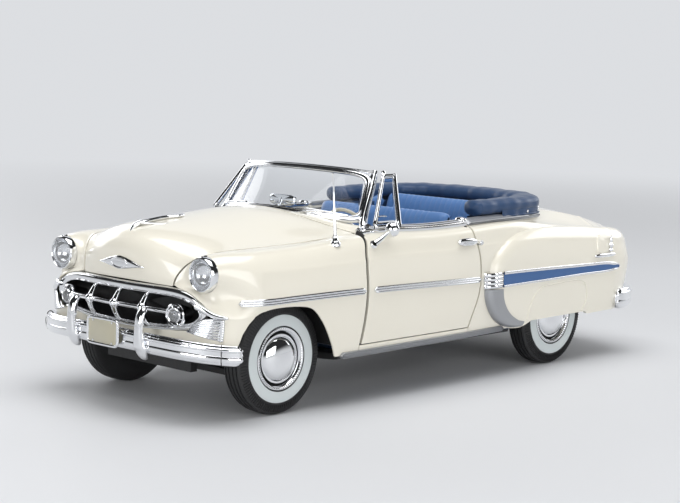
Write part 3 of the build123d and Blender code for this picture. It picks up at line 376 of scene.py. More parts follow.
# %% Camera
IMAGE_WIDTH = 680
FOCAL_PIXELS = 1705.06
SENSOR = 36.0
eye = Vector((516.21, 466.90, 129.53)) * MM
heading, down, lean = -2.3912, 0.1169, 0.0274
ahead = Vector((np.cos(heading) * np.cos(down), np.sin(heading) * np.cos(down), -np.sin(down)))
level_right = ahead.cross(Vector((0, 0, 1))).normalized()
level_up = level_right.cross(ahead)
right = level_right * np.cos(lean) + level_up * np.sin(lean)
upward = level_up * np.cos(lean) - level_right * np.sin(lean)
camera_data = bpy.data.cameras.new("camera")
camera_data.sensor_width = SENSOR
camera_data.lens = FOCAL_PIXELS / IMAGE_WIDTH * SENSOR
camera_data.clip_start, camera_data.clip_end = 0.02, 20
camera = bpy.data.objects.new("camera", camera_data)
camera.matrix_world = Matrix.Translation(eye) @ Matrix((right, upward, -ahead)).transposed().to_4x4()
bpy.context.scene.collection.objects.link(camera)
bpy.context.scene.camera = camera
print("lens in mm:", round(camera_data.lens, 2))

# %% [markdown]
# The studio is plain and pale, so the plating needs something dark to reflect: the sky is bright near the
# horizon and dark above it, but only for rays that look. The lamps alone set how bright the object is.
# The floor and the wall are one sheet with a round bend, so no line shows behind the car.

# %% Lamps and studio
bpy.context.scene.view_settings.view_transform = "Standard"


def soft_lamp(name, place, target, size, power, colour=(1, 1, 1)):
    """An area lamp of the given width and height that looks at a target."""
    data = bpy.data.lights.new(name, "AREA")
    data.shape = "RECTANGLE"
    data.size, data.size_y = size
    data.energy = power
    data.color = colour
    lamp = bpy.data.objects.new(name, data)
    lamp.location = place
    lamp.rotation_euler = (Vector(target) - Vector(place)).to_track_quat("-Z", "Y").to_euler()
    bpy.context.scene.collection.objects.link(lamp)


soft_lamp("overhead", (0.05, 0.1, 0.9), (0, 0, 0.03), (1.0, 0.7), 7.2)
soft_lamp("left_side", (0.3, 1.1, 0.35), (0, 0, 0.04), (1.2, 0.5), 5.4)
soft_lamp("front", (1.1, 0.1, 0.3), (0, 0, 0.04), (0.5, 0.4), 3.2)
soft_lamp("right_side", (-0.1, -1.1, 0.45), (0, 0, 0.04), (1.0, 0.5), 3.6)
soft_lamp("behind", (-1.1, 0.2, 0.5), (0, 0, 0.05), (0.8, 0.5), 3.0)

world = bpy.data.worlds.new("studio")
world.use_nodes = True


def seen_ray(tree):
    """1 for rays that only look: from the camera, off gloss or through glass. 0 for light that
    spreads."""
    light = tree.nodes.new("ShaderNodeLightPath")
    total = light.outputs["Is Camera Ray"]
    for name in ("Is Glossy Ray", "Is Transmission Ray"):
        plus = tree.nodes.new("ShaderNodeMath")
        plus.operation = "MAXIMUM"
        tree.links.new(total, plus.inputs[0])
        tree.links.new(light.outputs[name], plus.inputs[1])
        total = plus.outputs[0]
    return total


def eased_share(tree, coordinates, low, high, start, end, far=False):
    """A value that eases from start to end while the height z, or the distance from the middle where
    far is set, goes from low to high."""
    place = tree.nodes.new("ShaderNodeTexCoord")
    parts = tree.nodes.new("ShaderNodeVectorMath" if far else "ShaderNodeSeparateXYZ")
    if far:
        parts.operation = "LENGTH"
    share = tree.nodes.new("ShaderNodeMapRange")
    share.interpolation_type = "SMOOTHSTEP"
    for socket, value in zip(("From Min", "From Max", "To Min", "To Max"), (low, high, start, end)):
        share.inputs[socket].default_value = value
    tree.links.new(place.outputs[coordinates], parts.inputs[0])
    tree.links.new(parts.outputs["Value" if far else "Z"], share.inputs["Value"])
    return share.outputs["Result"]


sky_tree = world.node_tree
sky = sky_tree.nodes["Background"]
sky.inputs["Color"].default_value = (0.96, 0.98, 1.0, 1)
strength = sky_tree.nodes.new("ShaderNodeMix")
strength.inputs["A"].default_value = 0.16
sky_tree.links.new(seen_ray(sky_tree), strength.inputs["Factor"])
sky_tree.links.new(eased_share(sky_tree, "Generated", 0.03, 0.24, 0.7, 0.03), strength.inputs["B"])
sky_tree.links.new(strength.outputs["Result"], sky.inputs["Strength"])
bpy.context.scene.world = world

floor_finish = bpy.data.materials.new("pale_floor")
floor_finish.use_nodes = True
floor_tree = floor_finish.node_tree
floor_shader = floor_tree.nodes["Principled BSDF"]
floor_shader.inputs["Base Color"].default_value = (0.66, 0.67, 0.69, 1)
floor_shader.inputs["Roughness"].default_value = 0.6
wall_glow = floor_tree.nodes.new("ShaderNodeEmission")
wall_glow.inputs["Color"].default_value = (0.72, 0.735, 0.76, 1)
wall_mix = floor_tree.nodes.new("ShaderNodeMixShader")
wall_share = floor_tree.nodes.new("ShaderNodeMath")
wall_share.operation = "MULTIPLY"
floor_tree.links.new(seen_ray(floor_tree), wall_share.inputs[0])
floor_tree.links.new(eased_share(floor_tree, "Object", 0.5, 1.3, 0.0, 1.0, True), wall_share.inputs[1])
floor_tree.links.new(wall_share.outputs[0], wall_mix.inputs[0])
floor_tree.links.new(floor_shader.outputs[0], wall_mix.inputs[1])
floor_tree.links.new(wall_glow.outputs[0], wall_mix.inputs[2])
floor_tree.links.new(wall_mix.outputs[0], floor_tree.nodes["Material Output"].inputs["Surface"])

floor_reach, wall_reach, wall_height, fillet = 3.0, -1.6, 2.0, 0.5
sweep_angle = np.linspace(0, np.pi / 2, 12)
profile = np.vstack([[(floor_reach, 0)], np.column_stack([wall_reach - np.sin(sweep_angle) * fillet,
    fillet - np.cos(sweep_angle) * fillet]), [(wall_reach - fillet, wall_height)]])
toward = np.array([eye.x, eye.y]) / np.hypot(eye.x, eye.y)
across = np.array([-toward[1], toward[0]])
reach = np.linspace(-3.5, 3.5, 2)
backdrop_points = (profile[:, None, :1] * np.array([*toward, 0]) + profile[:, None, 1:]
    * np.array([0, 0, 1]) + reach[None, :, None] * np.array([*across, 0]))
backdrop_mesh = bpy.data.meshes.new("backdrop")
backdrop_mesh.from_pydata(backdrop_points.reshape(-1, 3).tolist(), [], grid_faces(len(profile), 2).tolist())
backdrop_mesh.polygons.foreach_set("use_smooth", np.ones(len(backdrop_mesh.polygons), bool))
backdrop_mesh.materials.append(floor_finish)
backdrop = bpy.data.objects.new("backdrop", backdrop_mesh)
bpy.context.scene.collection.objects.link(backdrop)
print("stage set, eye at", [round(value, 3) for value in eye])

# %% [markdown]
# ## The painted body
# The side of the car is one surface of two parameters: x along the car and w down the section. At each x
# five places are known, the top edge, the fender's crest, the shoulder line, the waist and the sill, and
# cubics join them. The crest is level and the waist is upright, which is what gives the sides their calm
# reflections. The panels are then cut from this surface simply by choosing where each grid starts and
# ends.

# %% Section of the side
# Columns: x; top edge y, z; crest y, z; shoulder y, z; waist y; sill y, z
SIDE = curve([
    (110, 36.3, 59.4, 43.0, 59.4, 49.4, 52.6, 50.9, 49.8, 20.0),
    (98, 37.0, 59.7, 43.4, 59.7, 50.0, 52.5, 51.3, 50.2, 19.6),
    (83, 37.6, 60.1, 43.8, 60.2, 50.3, 52.5, 51.5, 50.4, 19.4),
    (66, 38.8, 61.0, 44.2, 61.2, 50.5, 52.8, 51.6, 50.5, 19.4),
    (52, 40.4, 62.6, 44.9, 62.0, 50.5, 53.4, 51.6, 50.6, 19.4),
    (40, 42.0, 63.4, 45.5, 62.4, 50.5, 54.0, 51.5, 50.5, 19.4),
    (20, 42.6, 63.0, 46.0, 61.8, 50.4, 54.0, 51.4, 50.4, 19.4),
    (0, 42.6, 63.2, 46.0, 61.8, 50.2, 54.0, 51.2, 50.2, 19.4),
    (-20, 42.0, 63.8, 45.6, 62.2, 49.4, 54.6, 50.2, 49.6, 19.4),
    (-45, 41.0, 64.4, 44.6, 62.2, 48.5, 54.4, 49.5, 48.9, 19.6),
    (-60, 37.5, 64.8, 43.6, 60.6, 48.2, 54.0, 49.4, 48.6, 20.0),
    (-79, 31.8, 63.9, 42.6, 58.4, 47.8, 53.0, 49.2, 48.4, 20.4),
    (-92, 31.8, 62.2, 42.2, 56.8, 47.6, 52.2, 49.2, 48.2, 20.6),
    (-103, 31.8, 60.2, 41.8, 55.4, 47.4, 51.4, 49.2, 48.0, 21.0),
])
WAIST_Z = 42.0


def across_section(keys, w, waist_z=WAIST_Z):
    """Distance from the centre line and height at w, from 0 at the top edge over 1 at the crest, 2 at the
    shoulder and 3 at the waist to 4 at the sill. Each stretch is a cubic between its two keys."""
    top, crest, shoulder = keys[..., 0:2], keys[..., 2:4], keys[..., 4:6]
    waist = np.stack([keys[..., 6], np.broadcast_to(waist_z, keys.shape[:-1])], -1)
    sill = keys[..., 7:9]
    level, upright = np.array([1.0, 0.0]), np.array([0.0, -1.0])
    fall = np.array([0.42, -0.91])

    def span(start, end, leave, arrive, k):
        size = np.linalg.norm(end - start, axis=-1, keepdims=True)
        return hermite(start, end, leave * size, arrive * size, np.clip(w - k, 0, 1))

    first = crest - top
    spans = [span(top, crest, first / np.maximum(np.linalg.norm(first, axis=-1, keepdims=True), 1),
        level * 0.9 + [0, -0.2], 0), span(crest, shoulder, level * 1.15 + [0, -0.25], fall * 1.1, 1),
        span(shoulder, waist, upright + [0.16, 0], upright, 2),
        span(waist, sill, upright, upright + [-0.1, 0], 3)]
    return np.select([w[..., None] <= 1, w[..., None] <= 2, w[..., None] <= 3], spans[:3], spans[3])


def w_at_height(x, z):
    """The section parameter w whose height is z at x, below the crest, found by halving."""
    low, high = np.full(x.shape, 1.0), np.full(x.shape, 4.0)
    keys = SIDE(x)
    for _ in range(24):
        middle = (low + high) / 2
        higher = across_section(keys, middle)[..., 1] > z
        low, high = np.where(higher, middle, low), np.where(higher, high, middle)
    return (low + high) / 2


print("section at the door, w 0 to 4:", across_section(SIDE(np.zeros(5)), np.arange(5.0)).round(1).tolist())

# %% [markdown]
# The rear fender is a long bulge laid on that side. Its outline is drawn in an unrolled view, with the
# distance up the skin from the waist as height. Inside the outline the skin moves out along its own
# normal, and near the edge it rolls over like a quarter circle, so the bulge has a rounded shoulder and a
# soft valley round it.

# %% Rear fender bulge
BULGE_LIFT, BULGE_ROLL = 2.75, 6.5
BULGE_EDGE = np.array([(-37, -24), (-27, -19.5), (-21.6, -13), (-19.0, -6), (-18.6, 0), (-20.0, 4.5),
    (-23.0, 8.2), (-28, 11.6), (-35.6, 14.8), (-45.6, 16.8), (-58, 17.4), (-80, 17.2), (-105, 16.4),
    (-150, 14)], float)


def bulge_at(x, up):
    """Lift of the skin at x and a height up the skin: the signed distance to the outline, eased over
    the roll."""
    outline = path(BULGE_EDGE, 120)
    start, end = outline[:-1], outline[1:]
    place = np.stack([x, up], -1)[..., None, :]
    along = end - start
    share = np.clip(((place - start) * along).sum(-1) / (along ** 2).sum(-1), 0, 1)
    away = place - (start + share[..., None] * along)
    distance = np.linalg.norm(away, axis=-1)
    nearest = distance.argmin(-1)
    turn = along[..., 0] * away[..., 1] - along[..., 1] * away[..., 0]
    side = np.take_along_axis(turn, nearest[..., None], -1)[..., 0]
    inside = np.where(side > 0, distance.min(-1), 0)
    t = np.clip(inside / BULGE_ROLL, 0, 1)
    return BULGE_LIFT * np.sqrt(1 - (1 - t) ** 2.2)


def side_points(x, w):
    """Points of the left side at x and w, both grids of one shape, rear fender included."""
    across = across_section(SIDE(x), w)
    finer = np.linspace(0, 1, 9)
    ladder = w + (3 - w) * finer[:, None, None]
    rung = across_section(np.broadcast_to(SIDE(x), (9,) + SIDE(x).shape), ladder)
    up = np.linalg.norm(np.diff(rung, axis=0), axis=-1).sum(0) * np.sign(3 - w)
    step = across_section(SIDE(x), w + 0.01) - across_section(SIDE(x), w - 0.01)
    step /= np.linalg.norm(step, axis=-1, keepdims=True)
    lift = bulge_at(x, up)
    low_share = ease((x + 12) / -10)
    y = across[..., 0] - step[..., 1] * lift * low_share
    z = across[..., 1] + step[..., 0] * lift * low_share
    return np.stack([x, y, z], -1)


print("rear fender at its widest:", side_points(np.array([[-70.0]]), np.array([[3.0]])).round(2).tolist())

# %% [markdown]
# The shut lines are curves of x against height. A panel's grid runs from one shut line to the next and
# keeps 0.4 mm back from each, so the gap between two panels is 0.8 mm, wide for a real car and right for
# a casting. Only in front of the door it is wider: the hinge lies inside the skin, so the door's corner
# swings forwards.

# %% Shut lines
HALF_GAP = 0.4
DOOR_BACK, FENDER_BACK = 0.6, 0.1
DOOR_FRONT = curve([(22.0, 58.0), (30, 56.4), (42, 55.2), (50, 55.2), (56, 54.4), (60, 53.2), (64, 52.4)])
DOOR_REAR = curve([(22.0, -5.8), (27, -8.0), (32, -10.6), (37, -12.4), (43, -12.9), (49, -12.5),
    (55, -11.2), (60, -9.8), (64, -9.2)])
DOOR_LOW = 22.6
PANEL_WALL, PANEL_EDGE = 1.5, 0.18


def edge_x(line, w, guess):
    """The x of a shut line where it crosses each w: the height gives x, and x gives the height again."""
    x = np.full(w.shape, float(guess))
    for _ in range(6):
        z = across_section(SIDE(x), w)[..., 1]
        x = line(z)[..., 0]
    return x


def spread(count, start, end, crowd=0.0):
    """Places from start to end, crowded towards both ends by the given share of a cosine."""
    t = np.linspace(0, 1, count)
    return start + (end - start) * ((1 - crowd) * t + crowd * (1 - np.cos(np.pi * t)) / 2)


print("door edges at the waist:", edge_x(DOOR_FRONT, np.array([3.0]), 55).round(2),
    edge_x(DOOR_REAR, np.array([3.0]), -12).round(2))

# %% [markdown]
# The door is the plainest panel: its rows run from the belt to its lower edge. It is only 1.5 mm thick
# here, because the CAD door, with its full thickness and its hinge, stays behind it for the physics.

# %% Doors
def door_panel():
    """The side surface between the door's two shut lines, from the top edge down to the door's low
    edge."""
    w_low = w_at_height(np.array([25.0]), DOOR_LOW)[0]
    w = np.concatenate([spread(16, 0, 1), spread(20, 1, 2)[1:], spread(14, 2, 3)[1:],
        spread(20, 3, w_low)[1:]])
    t = spread(100, 0, 1, 0.3)
    front = edge_x(DOOR_FRONT, w, 55) - HALF_GAP - DOOR_BACK
    rear = edge_x(DOOR_REAR, w, -12) + HALF_GAP
    x = rear[None] + (front - rear)[None] * t[:, None]
    return side_points(x, np.broadcast_to(w, x.shape))


door_grid = door_panel()
door_skin = sheet_of(door_grid, (0, 0, 40))
for side, skin in (("left", door_skin), ("right", mirrored(door_skin))):
    piece(f"door_skin_{side}", [skin], cream, f"{side}_door", [f"door_{side}"],
        wall=PANEL_WALL, edge=PANEL_EDGE)


def door_gap_shade(line, guess, inward):
    """A black strip just behind the skin along a shut line: painted shade, so that the gap shows dark and
    not paint.
    """
    w = spread(40, 0.75, w_at_height(np.array([25.0]), DOOR_LOW + 0.6)[0])
    middle = edge_x(line, w, guess) + inward * 1.5
    run = side_points(middle[None], w[None])[0] - [0, 2.3, 0]
    return swept(run, 0.7, 1.3, (0, 1, 0), 3, 12)


# The black strips behind the shut lines are painted shade in the door gaps, in the tyres' black finish.
gap_shade_strips = [door_gap_shade(DOOR_FRONT, 55, -1), door_gap_shade(DOOR_REAR, -12, 1)]
for side, parts in (("left", gap_shade_strips), ("right", [mirrored(part) for part in gap_shade_strips])):
    piece(f"door_seal_{side}", parts, rubber, f"{side}_door")

# %% [markdown]
# ## Front fender
# The fender's side is cut from the same surface. Its columns stand at chosen x places and each one ends
# at the sill or, over the wheel, at the arch's lip, which is a curve of its own. The columns stand closer
# together where the lip is steep, so that the lip stays crisp.

# %% Arch lip and fender side
ARCH = curve([(70.6, 18.6), (71.6, 21.5), (73.4, 25.4), (75.8, 29.6), (79.2, 34.2), (83.2, 37.9),
    (88, 39.4), (94, 40.0), (100.2, 40.1), (105, 39.8), (108, 39.2), (111.4, 37.9), (114, 35.6),
    (116.3, 32.2), (117.6, 28.4), (118.2, 24.0)])
ARCH_REAR_X = 70.6
FRONT_X = 107.0


def fender_side():
    """The side surface from the front of the fender to the door. Columns end at the arch's lip or at
    the sill, and near the door they are drawn over to its shut line."""
    x = np.concatenate([spread(30, FRONT_X, 85), spread(40, 85, ARCH_REAR_X)[1:],
        spread(26, ARCH_REAR_X, 52)[1:]])
    t = np.concatenate([spread(12, 0, 0.25), spread(14, 0.25, 0.5)[1:], spread(22, 0.5, 1)[1:]])
    sill_z = SIDE(x)[:, 8]
    lip_z = np.where(x > ARCH_REAR_X, ARCH(x)[:, 0], np.minimum(sill_z, 18.8))
    w_lip = np.where(lip_z > sill_z, w_at_height(x, lip_z), 4.0)
    w = t[None] * w_lip[:, None]
    rear_share = ease((ARCH_REAR_X - 6 - x) / (ARCH_REAR_X - 6 - 52))
    rear = edge_x(DOOR_FRONT, w[-1], 55) + HALF_GAP + FENDER_BACK
    grid_x = x[:, None] + rear_share[:, None] * (rear[None] - 52)
    return side_points(grid_x, w)


fender_grid = fender_side()
print("fender side grid:", fender_grid.shape[:2])

# %% [markdown]
# The front of the fender is the hardest panel. It gathers round the headlight, so its grid is a polar
# one: one ring of points lies round the lamp, another follows the panel's outer edge, and cubics run from
# ring to ring. Each cubic leaves the lamp backwards, like the rim of a cup, and arrives in line with the
# neighbouring panel.

# %% Hood and its shut line
# Columns: place; centre x, z; shut line x, y, z; crown power; sideways power
HOOD = curve([
    (0.0, 128.4, 47.1, 126.2, 24.6, 46.8, 1.6, 2.4), (0.05, 129.3, 50.6, 125.9, 25.0, 48.9, 1.5, 2.3),
    (0.10, 129.6, 54.4, 125.0, 25.9, 51.2, 1.4, 2.2), (0.15, 129.2, 58.4, 123.6, 27.3, 53.6, 1.38, 2.1),
    (0.20, 127.6, 61.9, 121.4, 29.2, 55.8, 1.4, 2.0), (0.26, 124.2, 64.6, 118.2, 31.7, 57.6, 1.4, 2.0),
    (0.33, 118.6, 66.2, 114.0, 34.2, 58.9, 1.36, 2.0), (0.42, 110.0, 67.2, 107.4, 36.1, 59.5, 1.3, 2.0),
    (0.55, 97.5, 68.2, 96.0, 37.0, 59.7, 1.2, 2.0), (0.70, 84.0, 69.3, 82.0, 37.6, 60.1, 1.25, 2.0),
    (0.85, 74.0, 70.0, 66.5, 38.8, 61.0, 1.25, 2.0), (1.0, 64.4, 70.2, 50.6, 40.0, 62.4, 1.25, 2.0),
])


def hood_points(place, across):
    """A point of the hood: place runs from the nose to the cowl, across from -1 to 1 between the shut
    lines. Width is in proportion to across, height falls by one minus (1 - across squared) to the crown
    power, and x goes back by across to the sideways power."""
    keys = HOOD(place)
    size = np.abs(across)
    fall = 1 - np.clip(1 - size ** 2, 0, 1) ** keys[..., 5]
    back = size ** keys[..., 6]
    x = keys[..., 0] + (keys[..., 2] - keys[..., 0]) * back
    y = keys[..., 3] * across
    z = keys[..., 1] + (keys[..., 4] - keys[..., 1]) * fall
    return np.stack([x, y, z], -1)


place = np.concatenate([spread(40, 0.0, 0.33), spread(60, 0.33, 1)[1:]])
half = 1 - HALF_GAP / HOOD(place)[:, 3]
across_share = np.sin(spread(61, -1, 1) * np.pi / 2) * 0.35 + spread(61, -1, 1) * 0.65
hood_grid = hood_points(place[:, None] + 0 * across_share[None], across_share[None] * half[:, None])
piece("hood_skin", [sheet_of(hood_grid, (90, 0, 20))], cream, "hood_panel", ["hood"],
    wall=PANEL_WALL, edge=PANEL_EDGE)

# %% [markdown]
# A modeller in clay would scrape this panel until its highlights run true. Here the same is done by
# numbers: each point is moved a little towards the place that keeps the change of bend even, again and
# again, while the two outer rows stay where they are, so the panel still meets its neighbours smoothly.

# %% Fender front, gathered round the headlight
LAMP = np.array([123.6, 38.5, 52.3])
LAMP_RING = 6.3


def fender_front(join):
    """Polar grid from the lamp's ring to the panel's edge: hood shut line, section, arch, wing and
    grille."""
    line_place = spread(34, 0.012, 0.435)
    hood_edge = hood_points(line_place, np.full(34, 1.0)) + [0, HALF_GAP, 0]
    hood_edge[-1] = join[0]
    shift = ease((line_place - 0.25) / 0.185)[:, None] * (join[0]
        - (hood_points(0.435, 1.0) + [0, HALF_GAP, 0]))
    hood_edge = hood_edge + np.where(np.arange(34)[:, None] < 33, shift, 0)
    lower = path([join[-1], (109.4, 50.8, 38.9), (112.2, 50.6, 37.7), (116, 49.9, 37.4),
        (119.6, 48.4, 37.4), (122.2, 46.3, 37.6)], 18)
    grille = path([(122.2, 46.3, 37.6), (124.6, 43.4, 39.4), (126.2, 40.2, 42.2), (126.9, 36.4, 44.6),
        (126.9, 32, 46.0), (126.7, 28, 46.6), hood_edge[0]], 30)
    edge = np.vstack([hood_edge, join[1:], lower[1:], grille[1:-1]])
    n1, n2, n3 = len(hood_edge), len(join) - 1, len(lower) - 1
    count = len(edge)
    angle = np.unwrap(np.arctan2(edge[:, 2] - LAMP[2], edge[:, 1] - LAMP[1]))
    angle = np.linspace(angle[0], angle[0] - 2 * np.pi, count, endpoint=False) * 0.35 + angle * 0.65
    spoke = np.stack([0 * angle, np.cos(angle), np.sin(angle)], -1)
    ring = LAMP + LAMP_RING * spoke
    hoodward = np.tile([0.35, -0.85, 0.35], (n1, 1))
    backward = np.tile([-1.0, 0.0, 0.0], (n2, 1))
    downward = np.tile([0.0, 0.0, -1.0], (n3, 1))
    forward = np.tile([0.25, 0.0, -0.95], (count - n1 - n2 - n3, 1))
    blend = ease(np.linspace(0, 1, n1))[:, None] ** 2
    hoodward = hoodward * (1 - blend) + np.array([-0.75, -0.6, 0.1]) * blend
    leave = np.vstack([hoodward, backward, downward, forward])
    for _ in range(10):
        leave = (np.roll(leave, 1, 0) + 2 * leave + np.roll(leave, -1, 0)) / 4
    leave /= np.linalg.norm(leave, axis=1)[:, None]
    back_share = np.clip((ring[:, 0] - edge[:, 0]) / 12, 0, 1)[:, None]
    start = spoke * (1 - 0.7 * back_share) + np.array([-1.0, 0, 0]) * (0.12 + 0.9 * back_share)
    start /= np.linalg.norm(start, axis=1)[:, None]
    size = np.linalg.norm(edge - ring, axis=1)[:, None]
    t = spread(30, 0, 1, 0.5)
    grid = hermite(ring[:, None], edge[:, None], (start * size)[:, None], (leave * size * 0.9)[:, None],
        np.broadcast_to(t, (count, 30)))
    flow = np.zeros_like(grid)
    for _ in range(4000):
        for source, bend in ((grid, flow), (flow, None)):
            change = (np.roll(source, 1, 0) + np.roll(source, -1, 0))[:, 1:-1] + source[:, :-2] + source[:,
                2:]
            change = change / 4 - source[:, 1:-1]
            if bend is not None:
                bend[:, 1:-1] = change
        grid[:, 2:-2] -= 0.4 * change[:, 1:-1]
    return np.vstack([grid, grid[:1]]), lower


front_grid, wing_line = fender_front(fender_grid[0])
print("fender front grid:", front_grid.shape[:2])

# %% [markdown]
# Below that, one skirt wraps the whole nose from arch to arch, behind the bumper. Its plan is the same
# curve as the front of the fenders, and its upper edge drops where the grille stands.

# %% Skirt under the grille
def nose_skirt():
    """Straight lines down from the lower edge of the fender fronts and the grille to one level, tucked
    in by the square of the way down; beside the wheel they are squeezed between the arch's lip and the
    corner."""
    corner = wing_line[2:]
    front = path([corner[-1], (124.8, 43.2, 34), (126.4, 38, 33), (127.2, 30, 32), (127.8, 15, 31.4),
        (128.0, 0, 31.4)], 40)
    top = np.vstack([corner, front[1:]])
    t = spread(24, 0, 1)
    low_z = 22.6
    z = top[:, None, 2] + (low_z - top[:, None, 2]) * t[None]
    lip_x = np.where(z < 37.7, np.interp(z, [22.0, 24.0, 28.4, 32.2, 35.6, 37.9],
        [118.4, 118.3, 117.7, 116.4, 114.1, 111.4]), 111.4)
    start_x = wing_line[2, 0]
    x = np.where(top[:, None, 0] < 122.2, lip_x + (top[:, None, 0] - start_x) / (122.2 - start_x)
        * (122.2 - lip_x), top[:, None, 0])
    plan = curve([(110, 50.7), (113, 50.5), (116, 49.9), (119.6, 48.4), (122.2, 46.3)])
    y = np.where(x < 122.2, plan(np.clip(x, 110, 122.2))[..., 0], top[:, None, 1])
    y = np.where(top[:, None, 0] < 122.2, y, top[:, None, 1])
    tuck = 1.2 * t[None] ** 2
    return np.stack([x - tuck * (top[:, None, 0] > 122), y - tuck * 0.5 * (top[:, None, 1] > 20), z], -1)


skirt_grid = nose_skirt()
skirt = sheet_of(skirt_grid, (100, 0, 30))
fender_parts = [sheet_of(fender_grid, (80, 20, 40)), sheet_of(front_grid, (108, 34, 46)), skirt]
piece("front_fenders", both_sides(fender_parts), cream, "car", ["body_shell"],
      wall=0.6, edge=0.14)

# %% [markdown]
# ## Quarter panel, tail and boot lid
# Behind the door the same surface carries the rear fender's bulge. At the tail the section turns round
# the corner: each column now stands on the plan of the tail and leans towards the edge of the boot lid,
# so the columns fan out like slats.

# %% Quarter panel
REAR_X = -103.0


def quarter():
    """The side surface with its bulge, from the door's rear shut line to the start of the tail."""
    x = np.concatenate([spread(70, -6.0, -60), spread(46, -60, REAR_X)[1:]])
    low_z = np.interp(x, [-106, -86.0, -84.4, -45.5, -41.0, -36.0, 0],
        [21.2, 20.9, 22.1, 21.9, 20.4, 19.0, 18.8])
    w_low = w_at_height(x, low_z)
    t = np.concatenate([spread(16, 0, 0.25), spread(26, 0.25, 0.5)[1:], spread(46, 0.5, 1)[1:]])
    w = t[None] * w_low[:, None]
    share = np.clip((x + 60) / 54, 0, 1)
    front = edge_x(DOOR_REAR, w[0], -12) - HALF_GAP
    grid_x = x[:, None] + share[:, None] * (front[None] + 6.0)
    return side_points(grid_x, w)


quarter_grid = quarter()
print("quarter panel grid:", quarter_grid.shape[:2])

# %% [markdown]
# The section is given again at ten places round the tail, now against its plan. The bulge of the rear
# fender goes on along this plan and fades towards the lid, and below the waist the skin tucks in under
# the bumper.

# %% Tail corner
# Columns: place; plan x, y; top edge x, y, z; crest share, z; shoulder share, z; waist z; sill share, z
TAIL = curve([
    (0.0, -103.0, 49.2, -103.0, 31.8, 60.2, 0.425, 55.4, 0.103, 51.4, 42, 0.069, 21.0),
    (0.2, -110.6, 48.6, -109.5, 31.8, 58.7, 0.43, 54.6, 0.11, 50.6, 42, 0.07, 21.0),
    (0.4, -117.6, 46.6, -115.5, 31.8, 57.1, 0.45, 53.6, 0.13, 49.6, 41, 0.07, 21.2),
    (0.52, -122.0, 43.4, -119.5, 31.8, 56.0, 0.5, 52.9, 0.15, 48.8, 40, 0.08, 21.4),
    (0.62, -125.8, 38.6, -123.6, 31.8, 54.6, 0.55, 52.4, 0.2, 48.4, 39, 0.08, 21.6),
    (0.70, -128.2, 34.6, -127.4, 31.5, 52.0, 0.6, 50.6, 0.25, 46.8, 38, 0.1, 21.8),
    (0.77, -129.6, 31.2, -130.2, 30.8, 46.5, 0.7, 45.0, 0.3, 42.0, 36, 0.1, 22.0),
    (0.84, -130.4, 27.6, -131.2, 29.4, 35.6, 0.7, 34.8, 0.4, 33.4, 30, 0.1, 22.0),
    (0.90, -131.0, 18.0, -131.8, 18.0, 34.4, 0.7, 33.8, 0.4, 32.8, 30, 0.1, 22.0),
    (1.0, -131.6, 0.0, -132.6, 0.0, 34.4, 0.7, 33.8, 0.4, 32.8, 30, 0.1, 22.0),
])


def tail():
    """The side section carried round the plan of the tail. Each column runs from the lid's edge to the
    plan, so a place is the lid's edge plus the section's reach along the line between them; the bulge
    is added on top."""
    place = np.concatenate([spread(46, 0, 0.62), spread(40, 0.62, 1)[1:]])
    keys = TAIL(place)
    base, top = keys[:, 0:2], keys[:, 2:4]
    reach = np.linalg.norm(base - top, axis=1)
    way = (base - top) / np.maximum(reach, 1e-6)[:, None]
    flat = np.stack([0 * reach, keys[:, 4], reach * (1 - keys[:, 5]), keys[:, 6], reach * (1 - keys[:, 7]),
        keys[:, 8], reach, reach * (1 - keys[:, 10]), keys[:, 11]], -1)
    w_top = np.concatenate([spread(16, 0, 0.25), spread(26, 0.25, 0.5)[1:], spread(46, 0.5, 1)[1:]])
    w = 4 * w_top[None] + 0 * place[:, None]
    out = across_section(flat[:, None], w, keys[:, None, 9])
    points = np.empty(w.shape + (3,))
    points[..., :2] = top[:, None] + way[:, None] * out[..., :1]
    points[..., 2] = out[..., 1]
    along = np.gradient(base, axis=0)
    plan_normal = np.stack([along[:, 1], -along[:, 0]], -1)
    plan_normal /= np.linalg.norm(plan_normal, axis=1)[:, None]
    gone = REAR_X - np.concatenate([[0], np.cumsum(np.linalg.norm(np.diff(base, axis=0), axis=1))])
    rise = np.linalg.norm(np.diff(points, axis=1), axis=2).cumsum(1)
    rise = np.concatenate([np.zeros((len(place), 1)), rise], 1)
    waist = np.array([np.interp(3.0, row, height) for row, height in zip(w, rise)])
    up = waist[:, None] - rise
    fade = ease((base[:, 1] - 33) / 9)
    lift = bulge_at(gone[:, None] + 0 * up, up) * fade[:, None]
    slope = np.gradient(out, axis=1)
    slope /= np.maximum(np.linalg.norm(slope, axis=2, keepdims=True), 1e-9)
    points[..., :2] += plan_normal[:, None] * (-slope[..., 1:] * lift[..., None])
    points[..., 2] += slope[..., 0] * lift
    tuck = 5.4 * (np.clip(42 - points[..., 2], 0, None) / 21) ** 1.5 * ease(place / 0.3)[:, None]
    points[..., 0] += tuck * ease((base[:, 1] - 20) / 16)[:, None]
    points[0] = quarter_grid[-1]
    share = ease(place / 0.12)[:, None, None]
    return points * share + (quarter_grid[-1][None]
        + np.stack([gone - REAR_X, 0 * gone, 0 * gone], -1)[:, None]) * (1 - share)


tail_grid = tail()
print("tail grid:", tail_grid.shape[:2])

# %% [markdown]
# The lid rolls over from the deck to the tail. It could be cut out of the body, but as a crowned strip of
# its own, made like the hood, it stays smooth over the roll. A short strip of deck in front of it belongs
# to the body.

